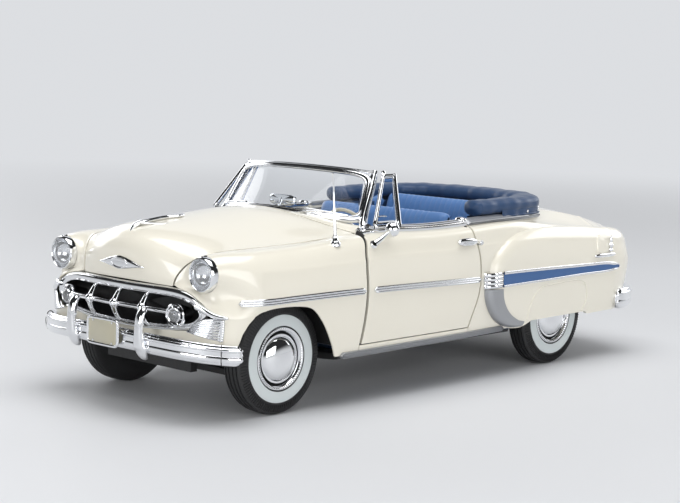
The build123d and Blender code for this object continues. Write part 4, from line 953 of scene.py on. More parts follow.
# %% Boot lid
# Columns: place; centre x, z; edge x, y, z; crown power; sideways power
LID = curve([
    (-0.22, -63.0, 67.4, -63.0, 36.4, 64.8, 1.0, 2.0),
    (0.0, -78.6, 66.2, -78.6, 31.4, 63.9, 1.0, 2.0), (0.2, -92, 64.2, -92.0, 31.4, 62.1, 1.0, 2.0),
    (0.4, -105, 61.4, -104.6, 31.4, 59.8, 1.0, 2.0), (0.55, -115.4, 58.7, -114.6, 31.4, 57.3, 1.0, 2.0),
    (0.68, -124.4, 55.4, -122.6, 31.3, 54.9, 1.0, 2.0), (0.78, -130.0, 51.2, -127.8, 31.0, 51.4, 1.0, 2.0),
    (0.86, -132.6, 46.2, -130.2, 30.6, 46.4, 1.0, 2.0), (0.93, -133.3, 40.6, -131.0, 30.0, 40.8, 1.0, 2.0),
    (1.0, -133.0, 35.2, -131.2, 29.0, 35.2, 1.0, 2.0),
])


def lid_points(place, across):
    """The boot lid and the deck in front of it, in the same way as the hood."""
    keys = LID(place)
    size = np.abs(across)
    x = keys[..., 0] + (keys[..., 2] - keys[..., 0]) * size ** keys[..., 6]
    y = keys[..., 3] * across
    z = keys[..., 1] + (keys[..., 4] - keys[..., 1]) * size ** 2
    return np.stack([x, y, z], -1)


place, across_share = spread(90, 0.012, 1), spread(51, -1, 1)
piece("boot_lid_skin", [sheet_of(lid_points(place[:, None] + 0 * across_share[None],
    across_share[None] + 0 * place[:, None]), (-105, 0, 20))], cream, "trunk_panel",
    ["trunk_lid"], wall=PANEL_WALL, edge=PANEL_EDGE)
place = spread(12, -0.1, 0)
deck = sheet_of(lid_points(place[:, None] + 0 * across_share[None],
    across_share[None] * 1.012 + 0 * place[:, None]), (-70, 0, 20))
rear_parts = [sheet_of(quarter_grid, (-60, 20, 40)), sheet_of(tail_grid, (-100, 10, 40))]
piece("rear_body", both_sides(rear_parts) + [deck], cream, "car",
      wall=PANEL_WALL, edge=PANEL_EDGE)

# %% [markdown]
# The cowl closes the gap between the hood and the windshield. It is a ruled patch: one side is the hood's
# rear shut line moved back by the gap, the other is the front edge of the cockpit.

# %% Cowl
def cowl():
    """A ruled patch: the hood's rear edge and the front of the cockpit, mixed by t, with a low sine
    crown."""
    across = spread(61, -1, 1)
    front = hood_points(np.full(61, 1.0), across) - [2 * HALF_GAP, 0, 0]
    front[:, 1] *= 1.005
    rear = np.stack([52.5 - 12.5 * np.abs(across) ** 2.2, 41.8 * across, 67.4 - 4.0 * np.abs(across) ** 2],
        -1)
    t = spread(12, 0, 1)[:, None, None]
    return front[None] * (1 - t) + rear[None] * t + np.array([0, 0, 0.6]) * np.sin(np.pi * t)


piece("cowl", [sheet_of(cowl(), (55, 0, 30))], cream, "car", wall=1.2, edge=0.15)

# %% [markdown]
# Behind each arch the casting has a tub, so that one looks into black and not through the car. A half
# tunnel with a flat inner wall is enough, as only its mouth shows.

# %% Wheel wells
def wheel_well(x, inner_y, outer_y, reach):
    """A half tunnel over the wheel with a flat inner wall: radius reach, running across the car."""
    angle = np.linspace(0.12, np.pi - 0.12, 33)
    arc = np.stack([x + reach * np.cos(angle), 0 * angle, 20 + reach * np.sin(angle)], -1)
    rows = np.concatenate([arc[None] + [0, outer_y, 0], arc[None] + [0, inner_y, 0],
                           (arc * [0, 1, 0])[None] + [x, inner_y, 22]])
    return sheet_of(rows, (x, (inner_y + outer_y) / 2 + 20, 20))


wells = [wheel_well(94.0, 26.5, 49.6, 25.2), wheel_well(-69.7, 34.0, 47.6, 24.5)]
piece("wheel_wells", both_sides(wells), underside, "car")

# %% [markdown]
# ## Bright trim on the sides
# Trim on a casting is a separate plated moulding pressed on the paint. To lie on the skin it has to know
# where the skin is, so rays are sent in from the side, and each moulding follows the points that they
# meet. The strips are one flat bar with three fine ribs, which is how the real ones catch the light as
# three lines.

# %% Finding the skin
from mathutils.bvhtree import BVHTree


def skin_tree(grids):
    """A search tree over several grids of the left side."""
    parts = [sheet_of(grid, (0, 0, 40)) for grid in grids]
    starts = np.cumsum([0] + [len(part[0]) for part in parts[:-1]])
    points = np.vstack([part[0] for part in parts])
    faces = np.vstack([part[1] + start for part, start in zip(parts, starts)])
    return BVHTree.FromPolygons(points.tolist(), faces.tolist())


left_skin = skin_tree([door_grid, fender_grid, front_grid, skirt_grid, quarter_grid, tail_grid])


def skin_at(x, z, out=0.0):
    """Points of the left skin seen from the side at x and z, moved out along the skin's normal."""
    x, z, out = np.broadcast_arrays(np.asarray(x, float), z, out)
    found = []
    for a, b, c in zip(x.ravel(), z.ravel(), out.ravel()):
        place, normal, _, _ = left_skin.ray_cast(Vector((a, 90, b)), Vector((0, -1, 0)), 60)
        if place is None:
            place, normal, _, _ = left_skin.find_nearest(Vector((a, 50, b)))
        normal = normal if normal.y > 0 else -normal
        found.append(tuple(place + normal * c))
    return np.array(found).reshape(x.shape + (3,))


print("skin at the door handle:", skin_at(-4.0, 56.0).round(2).tolist())

# %% [markdown]
# A strip is split where the door's gap crosses it, and each length rides on its own body. It is swept as
# a flat bar with three fine ribs along its face, and both its ends are rounded off.

# %% Side strips
def ribbed_bar(line, depth, half_height, ribs=3, share=0.02, up=(0, 0, 1)):
    """A flat bar along a line with fine ribs on its face: parts for one piece."""
    count = len(line)
    scale = rounded_ends(count, share)
    parts = [swept(line, depth, half_height * scale, up, 3.0, 20)]
    way = np.gradient(line, axis=0)
    side = np.cross(way, up)
    side /= np.linalg.norm(side, axis=1)[:, None]
    rise = np.cross(side, way)
    rise /= np.linalg.norm(rise, axis=1)[:, None]
    pitch = 2 * half_height / ribs
    for level in (np.arange(ribs) - (ribs - 1) / 2) * pitch:
        run = line + side * depth * 0.9 + rise * level * scale[:, None]
        parts.append(swept(run, depth * 0.45, pitch * 0.36 * scale, up, 2, 10))
    return parts


STRIP_Z = curve([(120, 42.5), (55, 42.5), (20, 41.9), (-12, 41.2), (-24, 40.9)])


def strip(start, end, count, half_height=1.25):
    """The ribbed bar on the side between two x places, laid on the skin at the strip's height."""
    keys = spread(7, start, end)
    line = path(skin_at(keys, STRIP_Z(keys)[:, 0], 0.25), count)
    return ribbed_bar(line, 0.55, half_height)


fender_strips = strip(116.9, 56.8, 60) + strip(-13.7, -19.5, 10)
piece("side_strip_rails", both_sides(fender_strips), chrome, "car", ["side_strips"])

# %% [markdown]
# The belt moulding runs along the top of the door, from the windshield's foot to a small cap at the shut
# line. Behind the door the same line goes on as a darker ribbed strip under the folded top.

# %% Belt mouldings, handle and door strip
def belt_line(start, end, count, w=0.1, out=0.7):
    """A line along the top of the side, w down the section, moved up along the normal."""
    x = spread(count, start, end)[None]
    ahead, back = side_points(x, np.full(x.shape, w)), side_points(x, np.full(x.shape, w + 0.08))
    slope = back - ahead
    normal = np.stack([0 * x, -slope[..., 2], slope[..., 1]], -1)
    normal /= np.linalg.norm(normal, axis=-1, keepdims=True)
    return (ahead + normal * out)[0]


belt = belt_line(50.2, -8.6, 60)
door_top = ribbed_bar(belt, 1.9, 0.75, 1, 0.01)
door_top += [swept(belt + np.array([0, 2.0, -0.95]), 0.6, 1.0, power=2.6, around=14),
             swept(belt + np.array([0, 0.2, 0.7]), 0.9, 0.35, power=2, around=12)]
cap = belt_line(-5.8, -9.0, 12)
door_top.append(swept(cap + [0, 0.4, 0.3], 2.4 * rounded_ends(12, 0.35), 1.5 * rounded_ends(12, 0.35),
    power=2.4, around=20))
handle_x = spread(26, 2.2, -9.8)
handle_line = skin_at(handle_x, 56.5 + 0.05 * handle_x, 1.15)
handle_size = np.sqrt(np.clip(1 - np.abs(np.linspace(-1, 1, 26)) ** 2.6, 0, 1))
door_top.append(swept(handle_line, 0.95 * handle_size + 0.02, 1.55 * handle_size + 0.02, power=2.2,
    around=24))
for rib_x in np.linspace(-0.5, -6.5, 9):
    foot = skin_at(rib_x, 55.6, 2.0)
    door_top.append(swept(foot + np.array([[0, 0, -0.5], [0, 0, 0], [0, 0, 0.5]]), 0.16, 0.16, (1, 0, 0),
        around=8))
button = skin_at(-12.0, 55.9)
door_top.append(turned([(0, 2.1), (0.75, 2.05), (1.0, 1.8), (1.0, -0.4)], button, (0, 1, 0), 24, 0.5))
door_trim = door_top + strip(52.0, -11.9, 60)
for side, parts in (("left", door_trim), ("right", [mirrored(part) for part in door_trim])):
    piece(f"door_trim_bright_{side}", parts, chrome, f"{side}_door",
        [f"door_trim_{side}"])

# %% [markdown]
# The guard at the front of the rear fender is a satin crescent that keeps stones off the paint. Above it
# sits a ribbed block, and behind the block the spear runs back to a point, with a blue insert between its
# bright edges.

# %% Stone guard
GUARD_OUTER = [(-15.2, 36.8), (-15.6, 33.5), (-17.4, 29.4), (-21, 25.0), (-25.4, 22.1), (-30.4, 20.3),
    (-35.4, 19.5), (-40.2, 19.4)]
GUARD_INNER = [(-24.6, 36.6), (-24.9, 33.6), (-26.4, 30.0), (-29.6, 26.4), (-33.8, 23.8), (-37.4, 22.4),
    (-40.6, 21.8), (-41.4, 21.6)]


def flat_side(x, z):
    """The side's y at x and z without the rear fender's bulge."""
    x, z = np.broadcast_arrays(np.asarray(x, float), z)
    return across_section(SIDE(x), w_at_height(x, z))[..., 0]


def guard_sheet():
    """The crescent between two outlines, mixed by v, standing out by the bulge's lift over a rounded
    edge."""
    outer, inner = path(GUARD_OUTER, 46), path(GUARD_INNER, 46)
    v = spread(22, 0, 1)[None, :, None]
    flat = outer[:, None] * (1 - v) + inner[:, None] * v
    roll = np.sqrt(1 - (1 - np.clip(v[..., 0] / 0.5, 0, 1)) ** 2.4)
    end = np.minimum(1, np.sqrt(np.clip(np.linspace(1, 0, 46) / 0.12, 0, 1)))[:, None] * 0.25 + 0.75
    y = flat_side(flat[..., 0], flat[..., 1]) + 0.1 + (BULGE_LIFT + 0.3) * roll * end
    return np.stack([flat[..., 0], np.minimum(y, 53.3), flat[..., 1]], -1)


guard = sheet_of(guard_sheet(), (-30, 30, 30))
piece("stone_guard_skins", [guard, mirrored(guard)], satin, "car", ["stone_guards"],
    wall=0.9, edge=0.15)

# %% [markdown]
# The block is one patch of skin lifted off the fender, with its ribs in the patch itself. The spear's
# edges are thin sweeps laid on the skin, and the blue insert is a sheet between them, a fifth of a
# millimetre proud.

# %% Ribbed block and spear
def block_sheet():
    """A patch of the side that stands out by the bulge's lift, with the absolute value of a sine as
    ribs."""
    x = spread(36, -14.9, -25.2)[:, None]
    z = spread(73, 37.1, 43.4)[None]
    roll = np.sqrt(1 - (1 - np.clip((-14.9 - x) / 5.5, 0, 1)) ** 2.4)
    ribs = 0.3 * np.abs(np.sin(np.pi * (z - 37.1) / 6.3 * 4))
    groove = 0.45 * np.exp(-((x + 20.0) / 0.4) ** 2)
    y = flat_side(x + 0 * z, z + 0 * x) + 0.1 + (BULGE_LIFT - 0.25) * roll + ribs * (1 - 1.2
        * groove) - groove
    return np.stack([x + 0 * z, np.minimum(y, 53.35), z + 0 * x], -1)


SPEAR_TOP = curve([(-26, 43.5), (-60, 43.0), (-90, 42.5), (-101, 42.0), (-105.2, 41.3), (-107.5, 40.5),
    (-108.4, 39.8)])
SPEAR_LOW = curve([(-26, 37.2), (-60, 37.5), (-90, 37.8), (-101, 38.0), (-105.2, 38.5), (-107.5, 39.2),
    (-108.4, 39.8)])
spear_x = np.concatenate([spread(60, -24.6, -100), spread(24, -100, -108.4)[1:]])
top_z, low_z = SPEAR_TOP(spear_x)[:, 0], SPEAR_LOW(spear_x)[:, 0]
taper = np.clip((spear_x + 108.6) / 5, 0.2, 1)
spear_parts = [sheet_of(block_sheet(), (-20, 30, 40)),
    swept(skin_at(spear_x, top_z - 0.55 * taper, 0.25), 0.38, 0.62 * taper, power=2.4, around=14),
    swept(skin_at(spear_x, top_z + 0.05, 0.25), 0.4, 0.2 * taper, power=2, around=10),
    swept(skin_at(spear_x, low_z + 0.45 * taper, 0.25), 0.38, 0.5 * taper, power=2.4, around=14)]
piece("spear_edges", both_sides(spear_parts), chrome, "car", ["spear_frames"],
    smooth_angle=50)
v = spread(8, 0, 1)[None]
insert_points = skin_at(spear_x[:, None] + 0 * v, (low_z[:, None] * (1 - v) + top_z[:, None] * v), 0.22)
insert = sheet_of(insert_points, (-60, 30, 40))
piece("spear_colour", [insert, mirrored(insert)], insert_blue, "car", ["spear_inserts"])

# %% [markdown]
# The sill goes on below the door as part of the casting. The rocker moulding on it is a satin bar with
# four ribs, made by the same function as the strips, because the real ones are rolled from the same kind
# of bar.

# %% Sill and rocker moulding
x = spread(60, 58.0, -6.4)
w_start = w_at_height(x, 22.2 + 0 * x)
sill_grid = side_points(x[:, None] + 0 * np.ones((1, 8)),
    w_start[:, None] + (4.06 - w_start[:, None]) * spread(8, 0, 1)[None])
sill = sheet_of(sill_grid, (20, 20, 40))
piece("sills", [sill, mirrored(sill)], cream, "car", wall=1.2)
x = spread(80, 68.4, -29.0)
rocker_line = np.stack([x, flat_side(np.clip(x, -30, 70), 20.5) - 0.1,
    np.interp(x, [-33, 68.6], [19.9, 19.4])], -1)
rocker_parts = ribbed_bar(rocker_line, 0.9, 1.15, 4, 0.012)
piece("rocker_strips", both_sides(rocker_parts), satin, "car", ["rocker_mouldings"])

# %% [markdown]
# Small raised lines on the paint: the edge of the wheel skirt and the filler door. They are part of the
# casting, so they are thin beads of the same paint.

# %% Beads, filler door ornament and rear strips
skirt_line = path([(-42.3, 22.4), (-43.2, 26), (-45.2, 30.2), (-48.0, 33.4), (-51.4, 35.1), (-56, 35.6),
    (-66, 36.0), (-76, 36.2), (-80.4, 35.6), (-83.2, 33.6), (-84.4, 30.4), (-84.4, 26.8), (-83.0, 24.2),
    (-81.6, 22.4)], 90)
bead = swept(skin_at(skirt_line[:, 0], skirt_line[:, 1], 0.0), 0.3, 0.34, (0, 1, 0), around=10)
corner_angle = circle(64)
square = squarish(corner_angle, 0.45)
filler_x, filler_z = -96.2 + 4.3 * square[0] - 0.6 * square[1], 50.1 + 4.0 * square[1]
filler_ring = skin_at(filler_x, filler_z, 0.0)
share = spread(8, 0, 1)[:, None, None]
middle = skin_at(-96.4, 50.1, 0.5)
filler_points = np.concatenate([filler_ring[None] - [0, 0.2, 0],
    skin_at(filler_x * 0.95 - 96.3 * 0.05, filler_z * 0.95 + 50.1 * 0.05, 0.45)[None],
    skin_at(filler_x * 0.5 - 96.3 * 0.5, filler_z * 0.5 + 50.1 * 0.5, 0.5)[None],
    np.broadcast_to(middle, (1, 64, 3))])
beads = [bead, sheet_of(filler_points, (-95, 30, 50), round_columns=True)]
piece("paint_beads", beads + [mirrored(beads[0])], cream, "car")
ornament_foot = skin_at(-100.8, 46.6)
figure = turned([(0, 0), (0.95, 0.1), (1.2, 0.8), (0.6, 1.5), (1.05, 2.2), (1.2, 3.0), (0.55, 3.9),
    (0.8, 4.7), (0.7, 5.8), (0, 7.0)], ornament_foot + [0, 0.5, 0], (0, 0, 1), 16, 3.0)
fin_x = spread(26, -88.6, -104.6)
fin = swept(skin_at(fin_x, 45.2 + 0 * fin_x, 0.5), 0.8 * rounded_ends(26, 0.3),
    0.92 * rounded_ends(26, 0.3), around=16)
rear_belt = ribbed_bar(belt_line(-10.0, -64.5, 50, 0.2, 0.5), 1.7, 1.0, 3, 0.01, (0, 0.5, 1))
piece("quarter_trim", [figure, fin, mirrored(fin)], chrome, "car")
piece("rear_belt", both_sides(rear_belt), satin, "car", ["cockpit_moulding"])

# %% [markdown]
# ## Wheels and tyres
# The tyre is a turned profile with a tread belt. Its side shows a black bead, the wide white band and a
# black shoulder with fine radial sipes. The tread has four grooves, cut as steps in the profile. Every
# sipe is a thin raised bar repeated round the wheel by numpy, one grid for all of them.

# %% Tyre
FRONT_AXLE, REAR_AXLE, AXLE_Z = 92.6, -69.7, 20.3
WHEELS = (("left_front", "left_front_wheel", [(FRONT_AXLE, 40.0, 1)], "front_left"),
          ("right_front", "right_front_wheel", [(FRONT_AXLE, -40.0, -1)], "front_right"),
          ("rear", "rear_wheels", [(REAR_AXLE, 40.6, 1), (REAR_AXLE, -40.6, -1)], "rear"))


def tyre_parts(centre, way):
    """The black parts and the white band of one tyre; way is +1 for a left wheel."""
    groove = []
    for middle in (-2.7, -0.95, 0.95, 2.7):
        groove += [(20.28 - 0.02 * middle ** 2, middle - 0.32), (19.6, middle - 0.2), (19.6, middle + 0.2),
            (20.28 - 0.02 * middle ** 2, middle + 0.32)]
    side = [(12.0, 4.72), (14.0, 4.8), (15.9, 4.72), (16.1, 4.62), (17.4, 4.5), (18.3, 4.35), (19.0, 4.1),
        (19.6, 3.85), (20.0, 3.5)]
    outer = [(10.9, 3.4), (11.2, 4.2), (11.6, 4.6), (11.9, 4.66)]
    profile = outer + side[3:] + [(r, -d) for r, d in groove] + [(r, -d) for r,
        d in side[::-1]] + [(11.0, -4.2), (10.9, -3.4)]
    black = turned(profile, centre, (0, way, 0), 120, 0.0)
    white = turned([(11.85, 4.4), (11.9, 4.78), (12.6, 4.88), (14.0, 4.9), (15.3, 4.86), (15.85, 4.76),
        (15.95, 4.4)], centre, (0, way, 0), 120, 3.0)
    return black, white


def sipes(centre, way, count=110):
    """Radial bars on both shoulders. Every bar is a box of eight points with its own turn."""
    angle = np.arange(count) / count * 2 * np.pi
    box = np.array([(r, d, s) for r, d in ((16.6, 4.45), (19.3, 3.75)) for s in (-1, 1)
        for d in (d - 0.3, d + 0.32)])
    r, d, s = box.T
    turn = angle[:, None] + s[None] * 0.16 / r[None]
    x, z = r * np.cos(turn), r * np.sin(turn)
    y = np.broadcast_to(d, x.shape) * way
    points = np.stack([x, y, z], -1).reshape(-1, 3) + centre
    quads = np.array([(0, 1, 3, 2), (4, 6, 7, 5), (0, 4, 5, 1), (2, 3, 7, 6), (1, 5, 7, 3), (0, 2, 6, 4)])
    faces = (quads[None] + 8 * np.arange(count)[:, None, None]).reshape(-1, 4)
    middle = points.reshape(count, 8, 3).mean(1)
    a, b, c = (points[faces[:, k]] for k in range(3))
    outwards = (np.cross(b - a, c - a) * (a - np.repeat(middle, 6, 0))).sum()
    return points, faces if outwards > 0 else faces[:, ::-1]


for name, body, places, place_name in WHEELS:
    node = "rear_tyres" if name == "rear" else f"tyre_{place_name}"
    black_parts, white_parts = [], []
    for wheel_x, wheel_y, way in places:
        black, white = tyre_parts((wheel_x, wheel_y, AXLE_Z), way)
        black_parts += [black, sipes(np.array([wheel_x, wheel_y, AXLE_Z]), way)]
        white_parts.append(white)
    piece(f"{name}_rubber", black_parts, rubber, body, [node], smooth_angle=35)
    piece(f"{name}_white_band", white_parts, whitewall, body)

# %% [markdown]
# The wheel is a painted steel disc that is almost hidden: a bright trim ring with fine ribs, a dark gap,
# and a domed cap with a raised lip, all of them turned about the axle.

# %% Rims and caps
def rim_parts(centre, way):
    """The plated and the dark parts of one wheel, all turned about its axle; way is +1 on the left."""
    ring = turned([(11.3, 4.0), (11.45, 4.55), (11.2, 4.85), (10.7, 4.8), (10.3, 4.45), (10.1, 4.1),
        (9.9, 3.9), (9.6, 3.1)], centre, (0, way, 0), 96, 3.5)
    cap = turned([(8.95, 2.4), (9.05, 3.4), (8.9, 3.85), (8.5, 3.95), (8.25, 3.9), (8.1, 4.1), (7.6, 4.75),
        (6.6, 5.4), (5.2, 5.95), (3.4, 6.35), (1.6, 6.55), (0, 6.6)], centre, (0, way, 0), 96, 2.0)
    ridge = turned([(10.25, 4.42), (10.42, 4.72), (10.75, 4.86), (10.9, 4.84)], centre, (0, way, 0), 288,
        3.5)
    wave = (np.arange(288) % 4 < 2) * 0.14
    ridge_points = ridge[0].reshape(288, 4, 3) + np.array([0, way, 0]) * (wave[:, None, None] - 0.04)
    knurl = (ridge_points.reshape(-1, 3), ridge[1])
    dish = turned([(9.75, 3.3), (9.3, 2.5), (8.8, 2.2), (2.0, 2.0), (1.2, 2.0)], centre, (0, way, 0), 64,
        0.0)
    barrel = turned([(9.6, 3.6), (9.7, 0), (9.7, -3.4), (11.1, -4.0)], centre, (0, way, 0), 64, 0.0)
    back = turned([(9.7, -1.0), (6, -1.6), (3.2, -2.0), (1.6, -2.0)], centre, (0, way, 0), 64, 1.0)
    return [ring, cap, knurl], [dish, barrel, back]


for name, body, places, place_name in WHEELS:
    node = "rear_rims" if name == "rear" else f"rim_{place_name}"
    bright, dark = [], []
    for wheel_x, wheel_y, way in places:
        made = rim_parts((wheel_x, wheel_y, AXLE_Z), way)
        bright += made[0]
        dark += made[1]
    piece(f"{name}_bright", bright, chrome, body, [node])
    piece(f"{name}_dark", dark, underside, body)

# %% [markdown]
# ## The front end
# The grille is an oval mouth with a thick rolled surround, a bar across it and three teeth. All of it is
# plated. The surround is a closed sweep whose section is wide at the top and slim below. Its plan bends
# back with the square of the distance from the centre line, like the nose behind it.

# %% Grille surround and dark mouth
def nose_x(y, front=128.6, bend=0.0027):
    """The nose in plan: front less bend times y squared."""
    return front - bend * np.asarray(y, float) ** 2


half_loop = path([(0, 45.1), (14, 45.1), (24, 45.0), (30.5, 44.4), (35.4, 42.8), (38.5, 40.3), (39.4, 38.2),
    (38.2, 36.0), (34.6, 33.9), (28, 32.8), (14.6, 31.8), (0, 31.6)], 70)
loop = np.vstack([half_loop, (half_loop * [-1, 1])[::-1][1:-1]])
ring_line = np.column_stack([nose_x(loop[:, 0]), loop])
top_share = ease((loop[:, 1] - 34) / 9)
surround = [swept(ring_line, 0.95 + 0.75 * top_share, 1.3 + 0.5 * top_share, (1, 0, 0), 2.2, 24,
    closed=True)]
surround.append(swept(ring_line + np.column_stack([0.7 + 0 * top_share, -0.035 * loop[:, 0],
    -(loop[:, 1] - 38.4) * 0.16]), 0.4, 0.9, (1, 0, 0), 2, 10, closed=True))
teeth = []
for tooth_y in (-14.3, 0, 14.3):
    bend = nose_x(tooth_y) - nose_x(0)
    line = path([(127.6, tooth_y, 44.6), (129.6, tooth_y, 43.2), (131.0, tooth_y, 41),
        (132.0, tooth_y, 38.6), (131.6, tooth_y, 36.2), (130.2, tooth_y, 33.6), (128.2, tooth_y, 31.9)],
        30) + [bend, 0, 0]
    width = np.interp(np.linspace(0, 1, 30), [0, 0.15, 0.4, 0.5, 0.6, 0.85, 1],
        [0.6, 0.7, 1.15, 1.4, 1.15, 0.8, 0.7])
    teeth.append(swept(line, width, width * 1.1, (1, 0, 0), 2.4, 16))
    teeth.append(turned([(0, 2.0), (0.8, 1.85), (1.5, 1.3), (1.9, 0.4), (1.9, -0.4), (1.5, -1.3),
        (0.7, -1.9), (0, -2.0)], (132.0 + bend, tooth_y, 38.6), (1, 0, 0), 24, 0))
bar_y = spread(60, -28, 28)
bar_line = np.column_stack([nose_x(bar_y, 131.3, 0.0024), bar_y, 38.5 + 0 * bar_y])
teeth.append(swept(bar_line, 0.95, 0.85, (0, 0, 1), 2.4, 14))
piece("grille_surround_roll", surround, chrome, "car", ["grille_surround"],
    smooth_angle=60)
piece("grille_teeth", teeth, chrome, "car", ["grille_bars"])
shrink = np.array([1.0, 0.985, 0.8, 0.55, 0.01])[:, None]
depth = np.array([0.4, 6.0, 9.5, 10.5, 10.5])[:, None]
centre_z = 38.4
mouth = np.stack([nose_x(loop[:, 0])[None] - depth, loop[None, :, 0] * shrink,
    centre_z + (loop[None, :, 1] - centre_z) * shrink], -1)
points, faces = sheet_of(mouth, (120, 0, 38.4), round_columns=True)
piece("grille_mouth", [(points, faces[:, ::-1])], underside, "car")

# %% [markdown]
# At each end the surround runs out into a blade, and under the blade sits a fan of fine ribs that wraps
# the corner. The ribs are the absolute value of a sine across the fan.

# %% Blades and ribbed fans
blade_line = path([(126.9, 37.4, 41.8), (126.1, 40.0, 40.6), (125.0, 42.6, 39.2), (123.4, 45.2, 38.3),
    (121.3, 47.7, 37.9)], 26)
blade = swept(blade_line, np.linspace(1.9, 0.75, 26), np.linspace(1.5, 0.6, 26) * rounded_ends(26, 0.04),
    (0, 0, 1), 2.2, 20)
u = spread(40, 0, 1)[:, None]
v = spread(81, 0, 1)[None]
low = path([(127.9, 34.4, 32.3), (127.0, 38.0, 31.5), (125.6, 41.4, 30.8), (124.0, 43.8, 30.2),
    (122.4, 45.6, 29.8)], 40)
high = path([(127.8, 35.2, 32.9), (126.8, 38.4, 36.0), (125.4, 41.6, 37.4), (123.8, 44.4, 37.5),
    (122.3, 46.4, 37.3)], 40)
low, high = low - [0, 0.9, 0], high - [0, 0.9, 0]
fan = low[:, None] * (1 - v[..., None]) + high[:, None] * v[..., None]
outward = np.array([0.75, 0.66, 0]) * (0.75 + 0.32 * np.abs(np.sin(8 * np.pi * v)) ** 0.8)[..., None]
fan = fan + outward * np.minimum(1, np.minimum(u, 1 - u) / 0.04 + 0.3)[..., None]
fan_sheet = sheet_of(fan, (110, 30, 33))
post = path([(122.6, 46.0, 37.3), (122.5, 45.8, 33.4), (122.6, 45.3, 29.8)], 60)
post_sheet = swept(post, 0.85 + 0.16 * np.abs(np.sin(np.linspace(0, 9 * np.pi, 60))), 0.85, (1, 0, 0), 2,
    14)
wings = [blade, fan_sheet, post_sheet]
piece("grille_wings", both_sides(wings), chrome, "car")

# %% [markdown]
# Every lamp is a nest of turned parts: a plated rim, a bowl that throws light back, and a lens over it.
# The headlight's lens has upright flutes on its inside, so it glints instead of looking empty.

# %% Lamps
def lamp_ring(centre, axis, rows, around=64, depth=0.0):
    """One turned part of a lamp."""
    return turned(rows, centre, axis, around, depth)


park_axis, park_centre = (0.985, 0.17, 0), (127.2, 29.2, 37.6)
park = [lamp_ring(park_centre, park_axis, [(2.2, -5), (3.2, -2), (3.9, 0.6), (4.2, 2.0), (4.15, 2.7),
    (3.75, 3.05), (3.35, 2.7), (3.3, 1.6)]), lamp_ring(park_centre, park_axis,
    [(2.75, 1.5), (2.75, 3.3), (2.55, 3.6), (2.2, 3.5), (2.1, 3.1)])]
for spoke_angle in np.arange(8) * np.pi / 4 + np.pi / 8:
    axis = np.array(park_axis)
    flat = np.array([-axis[1], axis[0], 0])
    way = np.cos(spoke_angle) * flat + np.sin(spoke_angle) * np.array([0, 0, 1])
    park.append(swept(np.array(park_centre) + axis * 2.5 + way * np.array([[2.6], [3.0], [3.5]]), 0.2, 0.2,
        axis, 2, 8))
park_lens = [lamp_ring(park_centre, park_axis, [(2.25, 2.6), (2.1, 3.6), (1.5, 4.1), (0.8, 4.35), (0, 4.4)],
    48, 2.0)]
well = [lamp_ring(park_centre, park_axis, [(3.35, 1.5), (2.2, 1.4)], 48, 0)]
piece("parking_bezels", both_sides(park), chrome, "car", ["parking_lamps"])
piece("parking_lens_domes", both_sides(park_lens), lamp_lens, "car", ["parking_lenses"])
piece("parking_wells", both_sides(well), underside)

lamp_centre = np.array([121.4, 38.5, 52.3])
rim = [lamp_ring(lamp_centre, (1, 0, 0), [(6.0, 1.2), (6.22, 1.9), (6.25, 3.6), (6.15, 4.5), (5.9, 4.95),
    (5.6, 5.05), (5.4, 4.8), (5.3, 4.0)], 96, 1.0)]
rim.append(swept(lamp_centre + np.array([[2.2, 0, 6.35], [3.2, 0, 6.45], [4.2, 0, 6.25]]), 0.45, 0.3,
    (0, 0, 1), 2, 10))
bowl = [lamp_ring(lamp_centre, (1, 0, 0), [(5.4, 4.3), (5.1, 2.6), (4.2, 1.0), (2.6, -0.2), (0.9, -0.7),
    (0, -0.7)], 64, 9.0)]
radius = np.concatenate([[5.45], spread(22, 5.35, 0)])
height = np.concatenate([[4.2], 4.5 + 1.3 * (1 - (radius[1:] / 5.4) ** 2)])
points, faces = turned(np.column_stack([radius, height]), lamp_centre, (1, 0, 0), 120, 2.0)
flute = 0.11 * np.abs(np.sin(points[:, 1] * 2 * np.pi / 1.5 + 0.6)) * (np.hypot(points[:, 1] - 38.5,
    points[:, 2] - 52.3) < 5.1)
points = points - np.outer(flute, [1, 0, 0])
lens = [(points, faces)]
piece("headlight_bezels", both_sides(rim), chrome, "car", ["headlight_rims"])
piece("headlight_bowls", both_sides(bowl), chrome)
piece("headlight_glass", both_sides(lens), lamp_lens, "car", ["headlight_lenses"])
tail_centre = (-121.4, 38.4, 47.2)
tail_rows = [(3.5, -2.5), (3.7, 2.5), (3.65, 4.2), (3.4, 4.8), (3.1, 4.9), (2.95, 4.4)]
tail_rims = [lamp_ring(tail_centre, (-1, 0.06, 0), tail_rows, 64, 1.0)]
tail_lens = [lamp_ring(tail_centre, (-1, 0.06, 0),
    [(3.0, 4.1), (2.8, 5.0), (2.1, 5.6), (1.1, 5.9), (0, 6.0)], 64, 2.0)]
piece("tail_bezels", both_sides(tail_rims), chrome, "car", ["tail_lamps"])
piece("tail_lens_domes", both_sides(tail_lens), red_lens, "car", ["tail_lenses"])

# %% [markdown]
# A bumper of the time is one deep pressing with a rolled upper bead, and two upright guards with round
# feet. The blade is a sweep along its plan; its ends close along a quarter circle. A thin seam near each
# tip shows where the end cap is bolted on.

